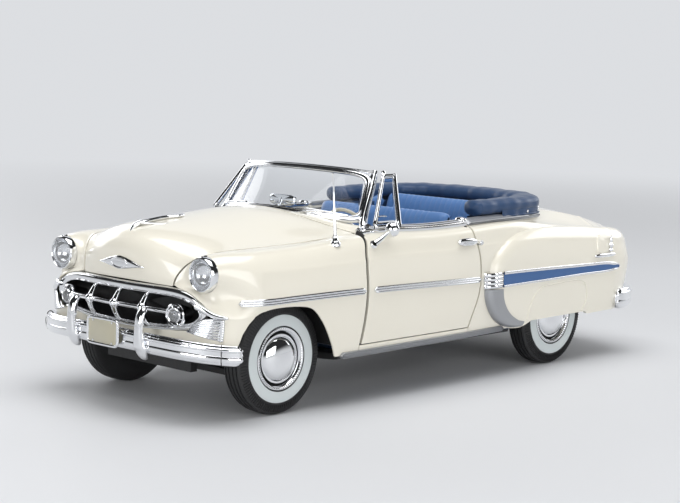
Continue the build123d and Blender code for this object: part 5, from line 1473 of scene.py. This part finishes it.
# %% Bumpers and guards
def bumper(plan, middle_z, half_height, thickness, end_drop):
    """A deep bar swept along its mirrored plan, with a bead above and one below, each moved out along
    the plan's normal; its ends drop with the square of y."""
    half = path(plan, 70)
    line = np.vstack([half, (half * [1, -1])[::-1][1:]])
    line = np.column_stack([line, middle_z - end_drop * (line[:, 1] / 52) ** 2])
    scale = rounded_ends(len(line), 0.025)
    outward = np.sign(line[:, 0].mean())
    way = np.gradient(line, axis=0)
    normal = np.cross(way, [0, 0, 1])
    normal /= np.linalg.norm(normal, axis=1)[:, None]
    normal *= np.sign((normal * [outward, 0, 0]).sum(1) + (normal * line * [0, 1, 0]).sum(1) * 0.02)[:,
        None]
    parts = [swept(line, thickness * scale, half_height * scale, power=2.6, around=36)]
    parts.append(swept(line + normal * thickness * 0.62 + [0, 0, half_height * 0.52], 0.95 * scale,
        0.85 * scale, power=2, around=16))
    parts.append(swept(line + normal * thickness * 0.75 - [0, 0, half_height * 0.38], 0.6 * scale,
        half_height * 0.34 * scale, power=2, around=16))
    return parts, line, normal


def bumper_guard(x, y, low_z, high_z, way):
    """An upright swept along rows of out, share of the height and half width."""
    rows = [(-1.8, 0, 0.8), (0.2, 0.07, 2.6), (1.4, 0.2, 3.0), (1.9, 0.36, 2.3), (1.9, 0.6, 2.0),
        (1.3, 0.82, 1.9), (0.2, 0.94, 1.6), (-1.2, 1.0, 0.5)]
    keys = path([(0.0, *row) for row in rows], 40)[:, 1:]
    line = np.column_stack([x + way * keys[:, 0], np.full(40, y), low_z + (high_z - low_z) * keys[:, 1]])
    size = keys[:, 2] * rounded_ends(40, 0.06)
    return swept(line, size, np.minimum(size, 1.5) * 0.85, (1, 0, 0), 2.4, 20)


front_plan = [(118.0, 51.7), (120.6, 50.5), (124.4, 47.0), (129.0, 39.8), (132.0, 31), (134.0, 19),
    (134.9, 0)]
front_parts, front_line, front_normal = bumper(front_plan, 27.4, 3.6, 1.25, 2.3)
front_parts += [bumper_guard(134.6, y, 22.2, 39.2, 1) for y in (-18.7, 18.7)]
BOLT_SHARE = 0.16
bolt_place = int(BOLT_SHARE * (len(front_line) - 1))
for k in (bolt_place, len(front_line) - 1 - bolt_place):
    place = front_line[k] + front_normal[k] * 1.35 + [0, 0, 2.4]
    front_parts.append(turned([(0.62, -0.3), (0.62, 0.35), (0.4, 0.6), (0, 0.7)], place, front_normal[k],
        12, 0))
piece("front_bumper_pressing", front_parts, chrome, "car", ["front_bumper"])
seams = []
for k in (9, len(front_line) - 10):
    foot = front_line[k] + front_normal[k] * 0.05
    ring_angle = circle(40)
    hoop = foot + np.outer(np.cos(ring_angle), front_normal[k]) * 1.75 + np.outer(np.sin(ring_angle),
        [0, 0, 1]) * 3.7
    seams.append(swept(hoop, 0.12, 0.16, (1, 0, 0) if abs(front_normal[k][0]) < 0.5 else (0, 1, 0), 2, 8,
        closed=True))
piece("bumper_seams", seams, underside)
rear_plan = [(-106.4, 51.0), (-112.4, 50.9), (-118.0, 49.4), (-122.8, 46.8), (-127.4, 40.6), (-131.2, 31),
    (-133.4, 19), (-134.6, 0)]
rear_parts, rear_line, rear_normal = bumper(rear_plan, 25.4, 4.5, 1.9, 0.2)
rear_parts += [bumper_guard(-134.7, y, 19.4, 34.8, -1) for y in (-19.5, 19.5)]
piece("rear_bumper_pressing", rear_parts, chrome, "car", ["rear_bumper"])

# %% [markdown]
# A plate is a rounded rectangle in a thin plated frame with four bolts, and its face is a set of rings
# that step in and shrink to the middle.

# %% Plates with their frames
PLATE_Z = 28.85


def plate(x, way):
    """A frame swept round a rounded rectangle, and the face inside it as rings that shrink to the
    middle."""
    angle = circle(72)
    wide, high = squarish(angle, 0.22)
    round_y, round_z = 8.2 * wide, PLATE_Z + 4.6 * high
    rim_line = np.column_stack([np.full(72, x), round_y, round_z])
    frame_part = swept(rim_line, 0.55, 0.45, (1, 0, 0), 2.4, 12, closed=True)
    layers = np.stack([np.stack([np.full(72, x - way * d), round_y * s, PLATE_Z + (round_z - PLATE_Z) * s],
        -1) for d, s in ((0.35, 0.97), (0.0, 0.965), (0.0, 0.9), (0.12, 0.87), (0.12, 0.5), (0.12, 0.001))])
    bolts = [turned([(0.42, -0.1), (0.42, 0.2), (0, 0.32)], (x, y, z), (way, 0, 0), 12, 0)
        for y in (-5.2, 5.2) for z in (25.2, 32.5)]
    return [frame_part] + bolts, sheet_of(layers, (x - way * 5, 0, PLATE_Z), round_columns=True)


front_frame, front_face = plate(137.45, 1)
rear_frame, rear_face = plate(-137.45, -1)
piece("plate_frames", front_frame + rear_frame, chrome, "car", smooth_angle=50)
piece("plate_faces", [front_face, rear_face], plate_tone, "car", ["licence_plates"])

# %% [markdown]
# The ornament is a slim spine with two swept wings. The badge is a bar that follows the hood's own
# surface, because a straight one would dig into the crown, with an oval ring on it.

# %% Hood ornament and nose badge
spine = path([(125.4, 0, 63.6), (124.0, 0, 65.2), (120.4, 0, 66.8), (115, 0, 67.5), (109, 0, 68.0),
    (104, 0, 68.3), (99.6, 0, 68.5)], 50)
spine_size = np.interp(np.linspace(0, 1, 50), [0, 0.08, 0.25, 0.5, 0.68, 0.84, 0.95, 1],
    [0.15, 0.9, 1.7, 1.1, 0.9, 2.3, 1.6, 0.1])
ornament = [swept(spine, spine_size, np.minimum(spine_size, 1.0) * 0.75 + 0.05, power=2.2, around=24)]
for way in (1, -1):
    wing = path([(121.4, 0, 66.6), (118.0, way * 3.0, 66.3), (113.4, way * 6.0, 66.3),
        (107.6, way * 8.6, 66.3)], 24)
    ornament.append(swept(wing, np.linspace(1.5, 0.12, 24), np.linspace(0.7, 0.12, 24), (0, 0, 1), 2, 14))
badge_y = spread(50, -12.4, 12.4)
badge_place = np.full(50, 0.083)
badge_line = hood_points(badge_place, badge_y / HOOD(0.083)[3]) + [0.35, 0, 0]
badge_half = 0.35 + 2.0 * np.clip(1 - (np.abs(badge_y) / 11.0) ** 1.5, 0, 1) ** 1.2
ornament.append(swept(badge_line, 0.7 * rounded_ends(50, 0.1) + 0.05, badge_half * rounded_ends(50, 0.04),
    (0, 0, 1), 2.2, 20))
oval = circle(48)
oval_line = badge_line[25] + np.stack([0.62 + 0 * oval, 4.2 * np.cos(oval), 1.8 * np.sin(oval) - 0.2], -1)
ornament.append(swept(oval_line, 0.28, 0.3, (1, 0, 0), 2, 10, closed=True))
piece("hood_ornament_bright", ornament, chrome, "hood_panel", ["hood_ornament"])

# %% [markdown]
# ## Windshield and vent windows
# The windshield is one bowed sheet. Every point of it comes from two numbers: how far across and how far
# up. So the glass, the plated frame and the dark gasket are drawn on the same surface and always fit each
# other.

# %% The windshield's surface
def screen(y, t):
    """A point on the windshield: y across, t from the base line at 0 to the header at 1."""
    y, t = np.broadcast_arrays(np.asarray(y, float), t)
    low_x, low_z = 57.0 - 14.0 * (np.abs(y) / 40) ** 2.1, 68.0 - 4.4 * (np.abs(y) / 40) ** 2.2
    high_x, high_z = 38.8 - 4.4 * (np.abs(y) / 34.4) ** 2.1, 85.0 - 1.2 * (np.abs(y) / 34.4) ** 2.2
    return np.stack([low_x + (high_x - low_x) * t, y, low_z + (high_z - low_z) * t], -1)


def screen_outline(inset, count=200):
    """Closed outline of the windshield drawn in from its edge, with rounded corners from a
    superellipse."""
    angle = circle(count)
    a, b = squarish(angle, 0.26)
    t = 0.5 + b * (0.5 - inset / 23.0)
    half = 38.8 - 4.4 * t - inset
    return screen(a * half, t)


edge_line = screen_outline(1.0)
outer_frame = swept(edge_line, 1.05, 1.0, (0.77, 0, 0.64), 2.6, 18, closed=True)
inner_lip = swept(screen_outline(1.9) + np.array([0.77, 0, 0.64]) * 0.7, 0.4, 0.35, (0.77, 0, 0.64), 2, 10,
    closed=True)
header = swept(screen(spread(40, -34, 34), 1.0) + [-0.2, 0, 0.2], 0.9, 0.55, (0.3, 0, 1), 2.4, 14)
posts = []
for way in (1, -1):
    post_line = path([(33.6, way * 34.6, 84.2), (36.9, way * 36.2, 78.5), (40.8, way * 37.6, 71.8),
        (43.6, way * 38.8, 66.6), (45.2, way * 40.2, 63.9), (46.8, way * 41.6, 62.8)], 40)
    post_wide = np.interp(np.linspace(0, 1, 40), [0, 0.1, 0.7, 0.9, 1], [1.2, 1.3, 1.5, 1.6, 1.7])
    posts.append(swept(post_line + [-0.6, -1.4 * way, 0], post_wide, 1.5, (0, 1, 0), 2.6, 20))
piece("windshield_surround", [outer_frame, inner_lip, header] + posts, chrome, "car",
    ["windshield_frame"])
pane = screen(spread(40, -1, 1)[:, None] * (37.0 - 4.2 * spread(24, 0.06, 0.94)[None]),
    spread(24, 0.06, 0.94)[None] + 0 * spread(40, -1, 1)[:, None])
piece("windshield_pane", [sheet_of(pane, (0, 0, 60))], glazing, "car",
    ["windshield_glass"], wall=0.5)
gasket = swept(screen(spread(50, -38.6, 38.6), -0.035) + [0.8, 0, -0.4], 1.1, 0.7, (0, 0, 1), 2.4, 12)
blocks = [swept(np.array([(46.6, way * 42.0, 62.9), (45.4, way * 41.8, 64.0), (44.6, way * 41.4, 65.0)]),
    1.0, 0.9, (0, 1, 0), 4, 12) for way in (1, -1)]
piece("windshield_gasket", [gasket] + blocks, rubber, "car")

# %% [markdown]
# Two arms rest on the foot of the windshield. They are laid out with the windshield's own function and
# moved off its surface, so that they lie on the glass and don't cut it.

# %% Wipers
wipers = []
for way in (1, -1):
    pivot = screen(way * 12.0, 0.0) + [2.2, 0, 0.2]
    arm = np.vstack([pivot, screen(way * 19.0, 0.055) + [1.5, 0, 0.9],
        screen(way * 25.0, 0.11) + [1.0, 0, 0.9]])
    wipers.append(swept(path(arm, 16), 0.42, 0.35, (0, 0, 1), 2, 10))
    blade_y = spread(20, way * 15.0, way * 33.0)
    wipers.append(swept(screen(blade_y, 0.1 + 0.02 * np.abs(blade_y) / 30) + [0.75, 0, 0.65], 0.3, 0.45,
        (0.77, 0, 0.64), 2, 10))
    wipers.append(turned([(1.1, -0.6), (1.1, 0.5), (0.7, 1.0), (0, 1.1)], pivot, (0.4, 0, 0.9), 20, 0))
piece("wipers", wipers, chrome, "car")

# %% [markdown]
# Each door carries a small vent window in a plated frame. It leans in like the windshield post. The frame
# is a closed sweep round four corners.

# %% Vent windows
VENT_IN, VENT_RISE = 0.36, 0.933
VENT_LEAN = np.array([0, -VENT_IN, VENT_RISE])


def vent_point(x, rise, out=0.0):
    """A point on the vent window's plane: x along the car and rise up the leaning plane."""
    x, rise = np.broadcast_arrays(np.asarray(x, float), rise)
    return np.stack([x, 44.2 - VENT_IN * rise + out * VENT_RISE, 64.6 + VENT_RISE * rise + out * VENT_IN],
        -1)


corners = [(44.6, 0.0), (32.6, 19.6), (26.6, 19.6), (30.9, 0.0)]
share = np.linspace(0.06, 0.94, 14)
sides = []
for start, end in zip(corners, corners[1:] + corners[:1]):
    sides.append(np.array(start) * (1 - share[:, None]) + np.array(end) * share[:, None])
vent_loop = np.vstack(sides)
vent_line = vent_point(vent_loop[:, 0], vent_loop[:, 1], 0.2)
vent_up = np.array([0, VENT_RISE, VENT_IN])
vent_frame = [swept(vent_line, 0.62, 0.75, vent_up, 3, 14, closed=True)]
rear_bar = path(vent_point(np.array([26.2, 28.3, 30.4]), np.array([20.0, 10.0, 0.0]), 0.1), 20)
vent_frame.append(swept(rear_bar, 0.75, 0.95, vent_up, 3, 14))
knob = vent_point(32.0, 20.6, 0.1)
vent_frame.append(turned([(0.8, -0.9), (0.95, 0), (0.8, 0.9), (0, 1.0)], knob, VENT_LEAN, 16, 0))
latch = path(vent_point(np.array([39.5, 37.5, 35.4]), np.array([4.0, 4.2, 4.0]), -0.9), 10)
vent_frame.append(swept(latch, 0.3, 0.3, vent_up, 2, 8))
t = spread(12, 0.05, 0.95)[:, None]
s = spread(10, 0.08, 0.92)[None]
glass_x = (44.6 - 12.0 * t) * (1 - s) + (30.9 - 4.3 * t) * s
vent_pane = sheet_of(vent_point(glass_x, 19.6 * t + 0 * s, 0.2), (36, 0, 60))
for side, turn in (("left", lambda part: part), ("right", mirrored)):
    piece(f"vent_surround_{side}", [turn(part) for part in vent_frame], chrome, f"{side}_door",
        [f"vent_frame_{side}"])
    piece(f"vent_pane_{side}", [turn(vent_pane)], glazing, f"{side}_door",
        [f"vent_glass_{side}"], wall=0.4)

# %% [markdown]
# These small parts are turned or swept about their own axes. The head of the door mirror is a shallow
# cup, the inner mirror a rounded box on a stalk, and the antenna a rod in a ball foot on the left fender.

# %% Mirrors and antenna
head = turned([(0, 2.2), (1.2, 2.0), (2.2, 1.35), (2.75, 0.5), (2.95, -0.3), (2.85, -0.7), (2.6, -0.75),
    (2.5, -0.5), (0, -0.45)], (41.0, 50.0, 64.1), (0.97, 0.2, 0.12), 40, 0)
stalk = path([(49.6, 49.2, 59.2), (47.4, 49.6, 60.4), (44.4, 49.9, 62.2), (42.2, 50.0, 63.4)], 20)
foot = turned([(1.6, -0.6), (1.6, 0.3), (1.2, 0.8), (0, 0.9)], (49.8, 48.9, 59.0), (0.1, 0.8, 0.6), 24, 0)
piece("door_mirror_bright", [head, swept(stalk, np.linspace(1.15, 0.45, 20), np.linspace(1.15, 0.45, 20),
    around=16), foot], chrome, "left_door", ["door_mirror"])
mirror_angle = circle(48)
mirror_wide, mirror_high = squarish(mirror_angle, 0.6)
shell = np.stack([np.stack([np.full(48, 48.8 + d), 7.0 * s * mirror_wide, 71.6 + 2.2 * s * mirror_high], -1)
    for d, s in ((-0.8, 0.001), (-0.8, 0.93), (-0.5, 1.0), (0.2, 1.0), (0.7, 0.85), (0.9, 0.001))])
inner_mirror = [sheet_of(shell, (48.8, 0, 72.4), round_columns=True),
    swept(path([(49.2, 0, 72.2), (50.6, 0, 69.6), (53.0, 0, 67.4)], 12), 0.55, 0.55, (0, 1, 0), around=12)]
piece("inner_mirror", inner_mirror, chrome, "car", ["rear_view_mirror"])
base = np.array([67.6, 46.2, 60.2])
aerial = [turned([(2.0, -1.0), (2.0, 0.2), (1.5, 0.8), (1.1, 1.3), (1.0, 2.4), (0.75, 3.0), (0.62, 3.6),
    (0.55, 13.0), (0.35, 13.4), (0.32, 25.1), (0.45, 25.4), (0, 25.7)], base, (0.035, -0.045, 0.998), 20,
    6.0)]
piece("aerial", aerial, chrome, "car", ["antenna"])

# %% [markdown]
# ## Inside the car
# The seats are moulded in hard plastic, shaped like sprung benches. A bench is a sweep across the car
# whose section breathes in and out a little with every pleat. The folded top lies behind them under its
# cover.

# %% Benches
def bench(centre, half, lean, size, pleats, pleat_share=0.8, power=3.0):
    """A cushion across the car: size is its half depth and half height, lean tips its height forwards
    or back."""
    y = spread(261, -half, half)
    scale = rounded_ends(261, 0.055)
    wave = np.abs(np.sin(y / (2 * half * pleat_share) * pleats * np.pi)) ** 0.6
    inside = ease((half * pleat_share - np.abs(y)) / 1.5)
    depth = size[0] * (1 - 0.045 * inside * (1 - wave)) * (0.25 + 0.75 * scale)
    height = size[1] * (0.9 + 0.1 * scale) * (1 - 0.012 * inside * (1 - wave))
    line = np.column_stack([centre[0] + 0 * y, y, centre[1] + 0 * y])
    return swept(line, depth, height, (lean, 0, 1), power, 40)


front_bench = [bench((-8.8, 50.0), 34.6, -0.14, (4.3, 16.4), 20),
    bench((4.2, 31.6), 34.6, 0.1, (12.6, 4.6), 20)]
piping_y = spread(60, -33.4, 33.4)
piping = [swept(np.column_stack([-13.6 + 0 * piping_y, piping_y, 64.6 + 0 * piping_y]), 0.35, 0.35,
    (0, 0, 1), 2, 8)]
rear_bench = [bench((-48.2, 54.0), 31.4, -0.16, (4.4, 14.2), 18),
    bench((-37.6, 32.6), 31.0, 0.1, (10.5, 4.2), 18)]
for way in (1, -1):
    arm = path([(-46.5, way * 33.4, 64.6), (-38, way * 36.0, 62.6), (-28, way * 36.6, 58.0),
        (-20, way * 36.6, 52.0)], 30)
    rear_bench.append(swept(arm, 2.6, 2.8 * rounded_ends(30, 0.06), power=2.6, around=20))
piece("front_bench", front_bench + piping, seat_blue, "car", ["front_seat"], smooth_angle=60)
piece("rear_bench", rear_bench, seat_blue, "car", ["rear_seat"], smooth_angle=60)

# %% [markdown]
# The cover of the folded top is a fat roll that runs down one side, round the back and up the other. Its
# section swells and sinks slowly, as stuffed cloth does, and a valance with snaps hangs from its outer
# edge.

# %% Cover of the folded top
half_run = path([(-19.6, 38.4, 68.2), (-27, 38.6, 68.3), (-38, 38.6, 68.5), (-50, 38.0, 68.6),
    (-60, 35.2, 68.6), (-67.0, 28.6, 68.7), (-70.6, 15, 68.9), (-71.4, 0, 69.0)], 120)
run = np.vstack([half_run, (half_run * [1, -1, 1])[::-1][1:]])
along = np.linspace(0, 1, len(run))
swell = 1 + 0.035 * np.sin(along * 58) + 0.025 * np.sin(along * 131 + 1.2)
end_scale = rounded_ends(len(run), 0.012)
cover_wide = (4.6 + 1.6 * ease(np.minimum(along, 1 - along) / 0.35)) * swell * (0.55 + 0.45 * end_scale)
cover_high = 3.1 * swell * (0.5 + 0.5 * end_scale)
cover = [swept(run, cover_wide * end_scale.clip(0.02), cover_high * end_scale.clip(0.02), power=2.5,
    around=44)]
way = np.gradient(run, axis=0)
outward = np.cross(way, [0, 0, 1])
outward /= np.linalg.norm(outward, axis=1)[:, None]
outward *= np.sign((outward * (run - [-30, 0, 68])).sum(1))[:, None]
keep = slice(22, len(run) - 22)
drop = spread(14, 0, 1)[None]
flare = 0.25 * np.sin(along[keep] * 150)[:, None] * drop ** 2
valance = (run[keep][:, None] + outward[keep][:, None]
    * (cover_wide[keep][:, None] * 0.86 + 0.5 * np.sin(drop * np.pi / 2) + flare)[..., None]
    + np.array([0, 0, 1.0]) * (0.6 - 4.4 * drop)[..., None])
cover.append(sheet_of(valance, (-40, 0, 68)))
hem = valance[:, -1]
cover.append(swept(hem, 0.42, 0.42, power=2, around=10))
seam = run + outward * (cover_wide * 0.55)[:, None] + np.array([0, 0, 1.0]) * (cover_high * 0.86)[:, None]
cover.append(swept(seam[6:-6], 0.22, 0.22, power=2, around=8))
piece("top_cover", cover, boot_blue, "car", ["top_boot"], smooth_angle=60)
snaps = []
for share in (0.2, 0.25, 0.3, 0.345, 0.4, 0.46, 0.54, 0.6, 0.655, 0.7, 0.75, 0.8):
    k = int(share * (len(run) - 1)) - 22
    normal = outward[keep][k]
    snaps.append(turned([(0.62, -0.2), (0.6, 0.25), (0.35, 0.5), (0, 0.55)], valance[k, 10] + normal * 0.1,
        normal, 14, 0))
piece("cover_snaps", snaps, chrome)

shelf = run[8:-8]
shelf_inner = np.column_stack([np.maximum(shelf[:, 0], -51.0), np.clip(shelf[:, 1], -32.6, 32.6),
    64.4 + 0 * shelf[:, 0]])
shelf_rows = np.stack([shelf * [1, 1, 0] + [0, 0, 65.4], shelf_inner, shelf_inner - [0, 0, 6]])
piece("top_shelf", [sheet_of(shelf_rows, (-40, 0, 40))], boot_blue)

# %% [markdown]
# The dashboard is a painted roll across the car with a face below it. Its dials are turned rings with
# dark faces, and a grid of bars stands where a loudspeaker would be.

# %% Dashboard
y = spread(121, -39.5, 39.5)
dash_x = 46.2 - 0.0019 * y ** 2
dash_line = np.column_stack([dash_x, y, 61.2 - 0.0006 * y ** 2])
dash_scale = rounded_ends(121, 0.02)
dash = [swept(dash_line, 5.0 * dash_scale + 0.1, 2.3 * dash_scale, power=2.6, around=30)]
face = np.stack([np.stack([dash_x - d, y, 61.0 - h + 0 * y], -1) for d,
    h in ((4.7, 0), (4.9, 2), (4.4, 6), (3.4, 8.5), (1.5, 9.5), (-3, 9.6))])
dash.append(sheet_of(face, (50, 0, 56)))
piece("dash_panel", dash, cream, "car", ["dashboard"])
dials, dial_faces = [], []
for dial_y, dial_radius in ((18, 4.4), (10.2, 2.3), (25.8, 2.3), (0, 2.6), (-20, 2.0)):
    dial_centre = np.array([41.3 - 0.0019 * dial_y ** 2, dial_y, 57.2])
    dials.append(turned([(dial_radius, -0.6), (dial_radius + 0.1, 0.6), (dial_radius - 0.2, 0.9),
        (dial_radius - 0.5, 0.4)], dial_centre, (-1, 0, 0.1), 40, 0))
    dial_faces.append(turned([(dial_radius - 0.4, 0.45), (dial_radius * 0.5, 0.5), (0, 0.5)], dial_centre,
        (-1, 0, 0.1), 40, -1))
for level in np.linspace(-2.2, 2.2, 7):
    bar_run = np.column_stack([np.full(12, 41.2), spread(12, -9.5, -3.5), np.full(12, 57.2 + level)])
    dials.append(swept(bar_run, 0.2, 0.18, (0, 0, 1), 2, 8))
trim_y = spread(60, -37, 37)
dials.append(swept(np.column_stack([41.3 - 0.0019 * trim_y ** 2, trim_y, 53.2 + 0 * trim_y]), 0.4, 0.35,
    power=2, around=8))
piece("dash_brightwork", dials, chrome)
piece("dial_faces", dial_faces, underside)

# %% [markdown]
# The wheel has a thin rim, two spokes and a plated horn ring. All of it turns about the column, so every
# ring is drawn in the plane across that line and rides on the wheel's own body.

# %% Steering wheel and column
WHEEL_CENTRE = np.array([29.1, 18.0, 57.52])
COLUMN_WAY = np.array([-np.cos(np.radians(24)), 0, np.sin(np.radians(24))])
flat_up = np.cross(COLUMN_WAY, [0, 1, 0])
angle = circle(96)


def ring_of(radius, lift, thick, squash=1.0, around=12):
    """A ring round the column, lift along it from the wheel's centre."""
    run = WHEEL_CENTRE + COLUMN_WAY * lift + radius * (np.cos(angle)[:, None] * np.array([0, 1.0, 0])
        + np.sin(angle)[:, None] * flat_up)
    return swept(run, thick, thick * squash, COLUMN_WAY, 2, around, closed=True)


wheel = [ring_of(12.0, 0.0, 0.72)]
for side_way in (1, -1):
    spoke = path([WHEEL_CENTRE - COLUMN_WAY * 0.8,
        WHEEL_CENTRE - COLUMN_WAY * 1.0 + np.array([0, side_way * 6.0, 0]),
        WHEEL_CENTRE + np.array([0, side_way * 11.6, 0])], 16)
    wheel.append(swept(spoke, 0.9, 0.45, COLUMN_WAY, 2.4, 12))
wheel.append(turned([(2.4, -1.8), (2.6, -0.4), (2.3, 0.2), (1.8, 0.35)], WHEEL_CENTRE, COLUMN_WAY, 32, 0))
piece("wheel_rim", wheel, ivory, "hand_wheel", ["steering_wheel"])
piece("horn_ring", [ring_of(6.4, 0.4, 0.28), turned([(1.9, 0.2), (1.7, 0.8), (1.0, 1.2), (0, 1.3)],
    WHEEL_CENTRE, COLUMN_WAY, 32, 0)], chrome, "hand_wheel")
column = turned([(1.75, 0), (1.75, 15.8), (1.3, 16.0)], WHEEL_CENTRE - COLUMN_WAY * 18.5, COLUMN_WAY, 32, 8)
lever = path([WHEEL_CENTRE - COLUMN_WAY * 3.0, WHEEL_CENTRE - COLUMN_WAY * 2.4 + np.array([0, -5, 0.6]),
    WHEEL_CENTRE - COLUMN_WAY * 1.8 + np.array([0, -9.5, 1.6])], 12)
piece("column_tube", [column, swept(lever, 0.35, 0.35, (0, 0, 1), 2, 10)], ivory, "car",
    ["steering_column"])

# %% [markdown]
# Under the body a plain floor plate closes the casting. It keeps inside the sills and ends before the
# bumpers, because on the road only the wheels and the low rails should show. A shallow pan closes the
# tail. The boot lid's handle is a plated bar.

# %% Floor plate and boot handle
plate_plan = np.array([(68, 26), (64, 30), (60, 41.5), (-44, 41.5), (-48, 30), (-78, 30), (-83, 26)], float)
plate_x = spread(90, 68, -83)
plate_y = np.interp(-plate_x, -plate_plan[:, 0], plate_plan[:, 1])
plate_rows = np.stack([np.column_stack([plate_x, plate_y * s, 0 * plate_x + z]) for s,
    z in ((0.01, 15.4), (0.5, 15.4), (0.94, 15.4), (0.99, 15.8), (1.0, 17.0), (0.99, 18.0), (0.94, 18.2),
    (0.01, 18.2))])
plate_sheet = tube_part(plate_rows.transpose(1, 0, 2),
    np.column_stack([plate_x, plate_y * 0.5, 0 * plate_x + 16.8]))
pan_plan = np.array([(-82, 30), (-91, 31), (-95, 43), (-110, 42), (-118, 36)], float)
pan_x = spread(50, -82, -118)
pan_y = np.interp(-pan_x, -pan_plan[:, 0], pan_plan[:, 1])
pan_rows = np.stack([np.column_stack([pan_x, pan_y * s, 0 * pan_x + z]) for s, z in
                     ((0.01, 20.8), (0.5, 20.8), (0.98, 20.8), (1.0, 21.6), (0.98, 22.4), (0.01, 22.4))])
pan_sheet = tube_part(pan_rows.transpose(1, 0, 2), np.column_stack([pan_x, pan_y * 0.5, 0 * pan_x + 21.6]))
floor_parts = [plate_sheet, mirrored(plate_sheet), pan_sheet, mirrored(pan_sheet)]
for y in (-18.0, 18.0):
    rail = path([(108, y, 18.0), (94, y, 17.0), (40, y, 14.8), (-20, y, 14.8), (-50, y, 15.6),
        (-84, y, 18.4)], 50)
    floor_parts.append(swept(rail, 2.0 * rounded_ends(50, 0.03), 1.5 * rounded_ends(50, 0.03), power=5,
        around=20))
tub_section = ((36, 54.6), (25.8, 54.2), (25.8, 22), (23, 19.6), (0, 19.4), (-23, 19.6), (-25.8, 22),
    (-25.8, 54.2), (-36, 54.6))
tub_rows = np.array([[(x, y, z) for x in (112.6, 94, 76, 57.4)] for y, z in tub_section])
points, faces = sheet_of(tub_rows, (85, 0, 45))
bulkhead = np.array([[(57.4, y, z) for y in (-25.8, 0, 25.8)] for z in (19.4, 38, 55.4)])
piece("engine_tub", [(points, faces[:, ::-1]), sheet_of(bulkhead, (40, 0, 40))], underside, "car",
    ["engine_bay"], wall=0.8)
piece("floor_plate", floor_parts, underside, "car", ["chassis_plate"])
grip = path([(-132.2, -5.8, 41), (-133.4, -4.4, 41), (-133.8, 0, 41), (-133.4, 4.4, 41), (-132.2, 5.8, 41)],
    40)
piece("boot_handle", [swept(grip, 0.55, 0.85 * rounded_ends(40, 0.1), power=2.4, around=16)], chrome,
    "trunk_panel", ["trunk_handle"])

# %% [markdown]
# The rest of the casting keeps its CAD shape and only gets its finish: cabin floor, axles, exhaust,
# engine and the doors' inner sides.

# %% Finishes on the CAD pieces
by_slot = {"cream_paint": cream, "blue_trim": seat_blue, "blue_trim_dark": boot_blue,
    "clear_glazing": glazing, "red_lens": red_lens, "tyre_rubber": rubber, "satin_silver": satin,
    "black_underbody": underside, "cabin_plastic": carpet, "plate_yellow": plate_tone,
    "ivory_plastic": ivory, "chrome_plating": chrome}
dressed = 0
for made in bpy.data.objects:
    if made.type != "MESH":
        continue
    for slot in made.material_slots:
        finish = by_slot.get(slot.material.name.split(".")[0]) if slot.material else None
        if finish:
            slot.material = finish
            dressed += 1
print("CAD slots dressed:", dressed)
